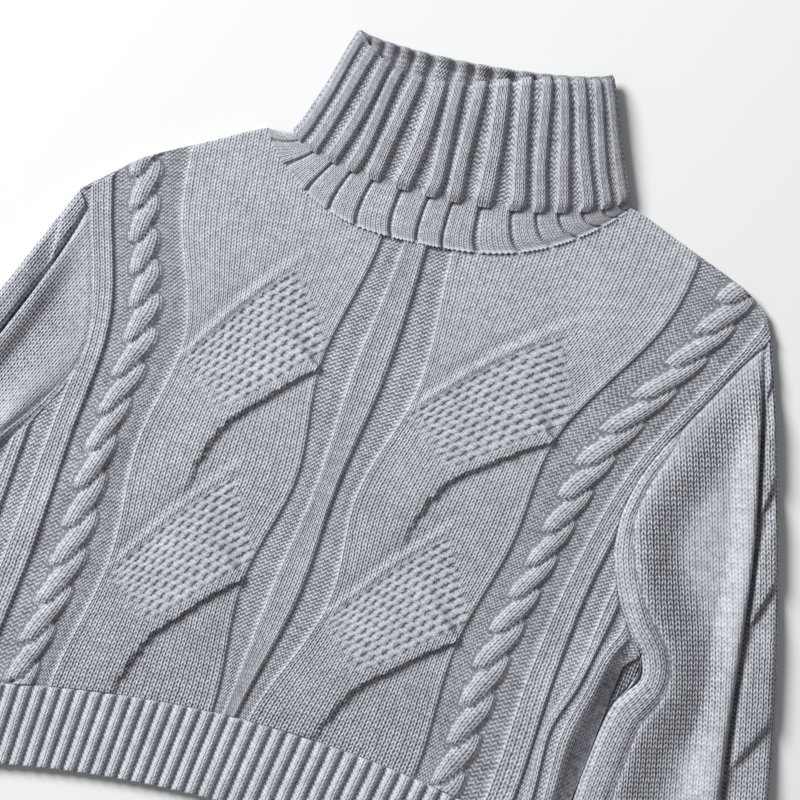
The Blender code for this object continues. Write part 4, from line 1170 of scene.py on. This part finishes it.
sleeve_yarn = knit_material("sleeve_yarn")
for name, table, side in (("right", SLEEVE_RIGHT, 1), ("left", SLEEVE_LEFT, -1)):
    sleeve, length = make_sleeve("sleeve_" + name + "_knit", table, side, sleeve_yarn)
    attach(sleeve, "root")
    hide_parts("sleeve_" + name)
    loop = np.concatenate([table[:, :2], table[::-1, 2:]])
    flat = (SLEEVE_ROUND * MM, length * MM)
    area = min(2 * plan_area(loop), flat[0] * flat[1])

# ---- Cuffs ----
# Short ribbed welts of the same yarn, knitted on to the ends of the sleeves.
CUFF_RIGHT = (366, -572, 270, -586)
CUFF_LEFT = (-442, -566, -352, -590)
CUFF_RIBS = 10
CUFF_TURN = 0.03
CUFF_TRIM = 0.45
CUFF_ROWS = 40  # points along, across the front and across the underside
CUFF_ACROSS = 160
CUFF_BACK = 80


def make_cuff(name, table, cuff, material):
    marks = edge_marks(CUFF_ACROSS, 0.4)
    back = np.linspace(CUFF_ACROSS - 2, 1, CUFF_BACK).round().astype(int)
    start, end = table[-1].reshape(2, 2), np.array(cuff, float).reshape(2, 2)
    length = np.linalg.norm(end[0] - start[0])
    start = start + (end - start) * SLEEVE_CLEAR / length
    rib = HEM_RIB_RISE * plateau(marks * CUFF_RIBS % 1, *RIB_FLANKS, RIB_FLANK)
    outers, inners, kept = [], [], []
    for share in np.linspace(0, 1, CUFF_ROWS):
        trim = CUFF_TRIM * (1 - rounded(min(share, 1 - share), CUFF_TURN))
        ends = start + (end - start) * share
        width = np.linalg.norm(ends[1] - ends[0])
        edge = rounded(np.minimum(marks, 1 - marks) * width, SLEEVE_TURN)
        front = ends[0] + (ends[1] - ends[0]) * marks[:, None]
        pull = WALL / width
        inside_plan = ends[0] + (ends[1] - ends[0]) * (pull + marks * (1 - 2 * pull))[:, None]
        top = WALL + (FRONT_UNDER + rib * (1 - trim) - trim) * edge
        hollow = np.full(CUFF_ACROSS, FRONT_UNDER)
        bottom = UNDER_LIFT * (1 - edge)
        outer, inner = tube_rows(front, inside_plan, top, hollow, bottom, hollow - SEAM_GAP, back)
        outers.append(outer)
        inners.append(inner)
        count, purl = welt_stitches(np.concatenate([marks, marks[back]]) * CUFF_RIBS)
        kept.append(np.column_stack([count, 0 * count - share * length / HEM_COURSE_MM, purl]))
    item = ringed(name, outers + inners[::-1], {"stitch": kept + kept[::-1]}, material)
    return item, length, np.linalg.norm(start[1] - start[0])


for name, table, cuff in (("right", SLEEVE_RIGHT, CUFF_RIGHT), ("left", SLEEVE_LEFT, CUFF_LEFT)):
    welt, length, width = make_cuff("cuff_" + name + "_welt", table, cuff, welt_yarn)
    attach(welt, "root")
    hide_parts("cuff_" + name)

# ---- Collar ----
# One ribbed tube of the same yarn, knitted on to the neck edge, folded outwards at its top and
# turned down over itself. Its cast-off edge lies along the neckband.
# Columns: share of height, left x, y, right x, y, front sag, back sag.
COLLAR = np.array([
    (0.0, -121, -12, 119.5, 12, 51, -6),
    (0.26, -105, -7, 118, 15, 23.5, -4),
    (0.55, -95, 19, 105.5, 40, 22.5, 3),
    (1.0, -83, 68, 84.5, 88, 21, 8.5),
])
# The folded wall, once round its section. Columns: share of height, inset at the sides,
# front z, back z, share of the rib's rise.
COLLAR_WALL = np.array([
    (0.000, 0.4, 5.9, 0.0, 0.5),
    (0.100, 1.5, 7.4, 1.8, 0.5),
    (0.245, 3.6, 9.3, 3.5, 0.4),
    (0.900, 3.6, 11.6, 3.9, 0.0),
    (0.930, 3.4, 11.9, 3.7, 0.0),
    (0.900, 3.2, 12.2, 3.5, 0.0),
    (0.275, 3.2, 10.0, 3.1, 0.0),
    (0.255, 1.6, 11.2, 1.6, 0.6),
    (0.290, 0.0, 13.4, 0.0, 1.0),
    (0.560, 0.0, 15.2, 0.0, 1.0),
    (0.880, 0.0, 15.8, 0.0, 1.0),
    (0.975, 0.6, 15.0, 0.8, 0.8),
    (1.000, 2.0, 12.6, 6.4, 0.4),
    (0.985, 4.2, 10.6, 10.0, 0.2),
    (0.930, 5.6, 9.4, 6.4, 0.1),
    (0.880, 6.2, 9.1, 5.7, 0.0),
    (0.245, 6.2, 6.5, 6.1, 0.0),
    (0.100, 4.1, 4.9, 4.3, 0.0),
    (0.000, 3.0, 3.2, 2.5, 0.0),
])
NECK_CLEAR = 0.3
FOOT_LAP = 2.0  # how far the picked-up edge laps the front
NECK_SHARE = 0.24
NECK_SHIFT = 5.5  # wales by which the middle of the collar sits off the centre of the front
NECK_SKEW = 0.9  # how much more it does so at the viewer's right
FOOT_BEAD = 1.3  # the picked-up edge along the neck stands proud
FOOT_ROWS = 0.35
COLLAR_SPREAD = 0.45  # how far its ribs crowd towards the sides
COLLAR_SAG = 1.3
COLLAR_DIP = 7.0  # how much lower the fold's front hangs at the viewer's left than at the right
COLLAR_TOP = 0.45
COLLAR_UNDER = 0.4
COLLAR_FADE = 0.5
COLLAR_RIBS = 15
COLLAR_RIB_RISE = 4.4
BAND_RIB_RISE = 6.0
BAND_GAP = (0.43, 0.57)  # shares of a rib's pitch at the sides of a gap in the neckband
BAND_GAP_EDGE = 0.09
COLLAR_FLANKS = (0.21, 0.79)
COLLAR_FLANK = 0.22
COLLAR_UNEVEN = 0.1  # how much the ribs differ in width
COLLAR_SWAY = 0.006  # how far each rib sways on its way up, as a share of the width
SCALLOP = 1.3  # how far each rib's end stands out at the cast-off edge and at the fold
COLLAR_SLACK = 1.0
BAND_SLACK = 0.75
INSIDE_RIB = 0.8  # share of the rib's rise on the inside of the back
RIB_STITCHES = np.array([(0, 0), (0.21, 1.5), (0.79, 5.5), (1, 7)])
COLLAR_COURSES = 32  # over its whole height
BAND_COURSES = 60  # the same where the neckband runs down to the neck
COLLAR_PER_RIB = 22
COLLAR_BACK_POINTS = 110
COLLAR_STEPS = 6  # rings from one row of the table to the next
# Rows of the folded wall: the last of the neckband, the turned-down part, the cast-off edge, where
# ribs show inside the back, and all of the inside.
BAND_ROW = 2.5
DOWN_ROWS = (7, 12.5)
CAST_OFF_ROWS = (6, 9)
INSIDE_ROWS = (11.5, 16)
REVERSE_ROWS = (11.5, 18.5)
CAST_OFF_SHARE = 0.255
FOLD_SHARE = 0.93


def make_collar(material):
    front = np.linspace(0, 1, COLLAR_RIBS * COLLAR_PER_RIB + 1)
    back = np.linspace(1, 0, COLLAR_BACK_POINTS)[1:-1]
    angle = np.concatenate([np.pi * front, np.pi * (2 - back)])
    is_front = np.sin(angle) >= -1e-9
    round_share = np.where(is_front, angle / np.pi, 2 - angle / np.pi)
    across = round_share + COLLAR_SPREAD * ((1 - np.cos(angle)) / 2 - round_share)
    bow = np.sqrt(np.clip(1 - (2 * across - 1) ** 2, 0, 1))
    wale = NECK_WALE * (2 * across - 1)
    wale = wale + NECK_SHIFT * (1 - (wale / NECK_WALE) ** 2) * (1 + NECK_SKEW * wale / NECK_WALE)
    front_foot = lay(wale[is_front], neck_course(wale[is_front]))
    back_foot = lay(wale[~is_front], back_neck_course(wale[~is_front]))
    outwards = -left_of(np.gradient(front_foot, axis=0))
    foot = np.concatenate([
        front_foot + NECK_CLEAR * left_of(np.gradient(front_foot, axis=0)),
        back_foot - NECK_CLEAR * left_of(np.gradient(back_foot, axis=0)),
    ])
    place = np.arange(0, len(COLLAR_WALL), 1 / COLLAR_STEPS)
    rows = np.arange(len(COLLAR_WALL) + 1)
    wall = np.concatenate([COLLAR_WALL, COLLAR_WALL[:1]])
    section = np.column_stack([np.interp(place, rows, wall[:, k]) for k in range(5)])
    rings, kept, loose = [], [], []
    ribs = round_share * COLLAR_RIBS
    ribs = ribs + COLLAR_UNEVEN * (np.sin(1.7 * ribs + 0.6) - np.sin(0.6)) * bow
    turn = ribs % 1
    raised_rib = plateau(turn, *COLLAR_FLANKS, COLLAR_FLANK)
    panels = 1 - plateau(turn, *BAND_GAP, BAND_GAP_EDGE)
    count = ribs.round(6) // 1 * RIB_STITCHES[-1, 1] + np.interp(turn, *RIB_STITCHES.T)
    run_up, last = 0.0, 0.0
    for row, (share, narrow, front_z, back_z, raised) in zip(place, section):
        values = [through(COLLAR, k, share) for k in range(1, 7)]
        left, right = np.array(values[:2]), np.array(values[2:4])
        run = (right - left) / np.linalg.norm(right - left)
        left, right = left + run * narrow, right - run * narrow
        down = np.array([run[1], -run[0]])
        on_band = row <= BAND_ROW
        folded_down = soft_step((row - DOWN_ROWS[0]) / 1.5) * soft_step((DOWN_ROWS[1] - row) / 1.5)
        profile = panels if on_band else raised_rib
        fade = is_front * bow**COLLAR_FADE
        sag = np.where(is_front, values[4], values[5]) * bow**COLLAR_SAG
        sag = sag + COLLAR_DIP * is_front * np.sin(TURN * across) * share**3
        cast_off = np.exp(-(((share - CAST_OFF_SHARE) / 0.02) ** 2))
        cast_off = cast_off * (CAST_OFF_ROWS[0] < row < CAST_OFF_ROWS[1])
        folded = soft_step((share - FOLD_SHARE) / 0.06)
        sag = sag + SCALLOP * (cast_off - folded) * (2 * raised_rib - 1) * fade
        sway = COLLAR_SWAY * np.sin(5 * share + 2.1 * np.floor(ribs)) * bow * folded_down
        plan = left + (right - left) * (across + sway)[:, None] + down * sag[:, None]
        plan = plan + (foot - plan) * soft_step(1 - share / NECK_SHARE)
        middle = (front_z + back_z) / 2
        half = (front_z - back_z) / 2
        rise = BAND_RIB_RISE if on_band else COLLAR_RIB_RISE
        inside_back = INSIDE_RIB * ~is_front * (INSIDE_ROWS[0] < row < INSIDE_ROWS[1]) * bow
        rib = (profile - 0.5) * (fade * raised + inside_back)
        full = np.where(is_front, bow**COLLAR_TOP, -(bow**COLLAR_UNDER))
        z = middle + half * full + rise * rib
        bead = np.exp(-((row / FOOT_ROWS) ** 2)) * is_front * (1 + 0.3 * np.cos(TURN * count))
        z = z + FOOT_BEAD * bead
        plan[is_front] += FOOT_LAP * bead[is_front, None] * outwards
        rings.append(np.column_stack([plan, np.maximum(z, 0)]))
        run_up += abs(share - last) * (BAND_COURSES if on_band else COLLAR_COURSES)
        last = share
        purl = 1 - (panels if on_band else plateau(turn, *COLLAR_FLANKS, RIB_KNIT_EDGE))
        if REVERSE_ROWS[0] < row < REVERSE_ROWS[1]:
            purl = np.where(is_front, purl, 1 - purl)
        kept.append(np.column_stack([count, 0 * ribs + run_up, purl]))
        # Painted light: the picked-up edge along the neck gets no looseness, so none of the
        # painted shade between stitches, and shows light though its lower side faces away from the
        # light.
        tight = (BAND_SLACK if on_band else COLLAR_SLACK) * (1 - np.minimum(bead, 1))
        loose.append(slack_only(tight))
    return ringed("collar_knit", rings, {"stitch": kept, "slack": loose}, material)


collar = make_collar(knit_material("collar_yarn"))
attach(collar, "root")
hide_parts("collar")

# ---- Floor, light and camera ----
# A plain pale surface, a broad soft light from the upper left of the picture, and a camera that
# looks straight down, turned so that the sweater lies askew.
FLOOR_HALF = 8.0
PICTURE_TURN = np.radians(17)
PICTURE_CENTRE = (13.1, -153.19)
PICTURE_WIDTH = 0.51613
LENS = 150.0
SENSOR = 36.0
CLOTH_TOP = 0.008
FLOOR_GREY = 0.635
KEY_SIDE = (-0.6, 0.6, 0.66)  # where the light comes from, in the picture
KEY_AWAY = 4.5
KEY_SIZE = 2.0
KEY_POWER = 375
SKY_POWER = 0.29

bpy.ops.object.select_all(action="DESELECT")
bpy.ops.mesh.primitive_plane_add(size=2 * FLOOR_HALF, location=(0, 0, -0.0005))
floor = bpy.context.active_object
floor.name = "floor"
paper = bpy.data.materials.new("paper")
paper.use_nodes = True
shader = paper.node_tree.nodes["Principled BSDF"]
shader.inputs["Base Color"].default_value = (FLOOR_GREY, FLOOR_GREY, FLOOR_GREY, 1)
shader.inputs["Roughness"].default_value = 0.9
floor.data.materials.append(paper)

light_from = Vector(KEY_SIDE).normalized()
light_from.rotate(Matrix.Rotation(PICTURE_TURN, 3, "Z"))
key = bpy.data.objects.new("key", bpy.data.lights.new("key", "AREA"))
key.data.shape = "DISK"
key.data.size = KEY_SIZE
key.data.energy = KEY_POWER
key.location = light_from * KEY_AWAY
key.rotation_mode = "QUATERNION"
key.rotation_quaternion = light_from.to_track_quat("Z", "Y")
bpy.context.scene.collection.objects.link(key)
world = bpy.data.worlds.new("studio")
world.use_nodes = True
sky = world.node_tree.nodes["Background"]
sky.inputs["Color"].default_value = (0.96, 0.98, 1.0, 1)
sky.inputs["Strength"].default_value = SKY_POWER
bpy.context.scene.world = world
bpy.context.scene.view_settings.view_transform = "Standard"

camera = bpy.data.objects.new("camera", bpy.data.cameras.new("camera"))
camera.data.lens = LENS
camera.data.sensor_width = SENSOR
camera.location = (
    (PICTURE_CENTRE[0] - CENTRE[0]) * MM,
    (PICTURE_CENTRE[1] - CENTRE[1]) * MM,
    CLOTH_TOP + PICTURE_WIDTH * LENS / SENSOR,
)
camera.rotation_euler = (0, 0, PICTURE_TURN)
bpy.context.scene.collection.objects.link(camera)
bpy.context.scene.camera = camera
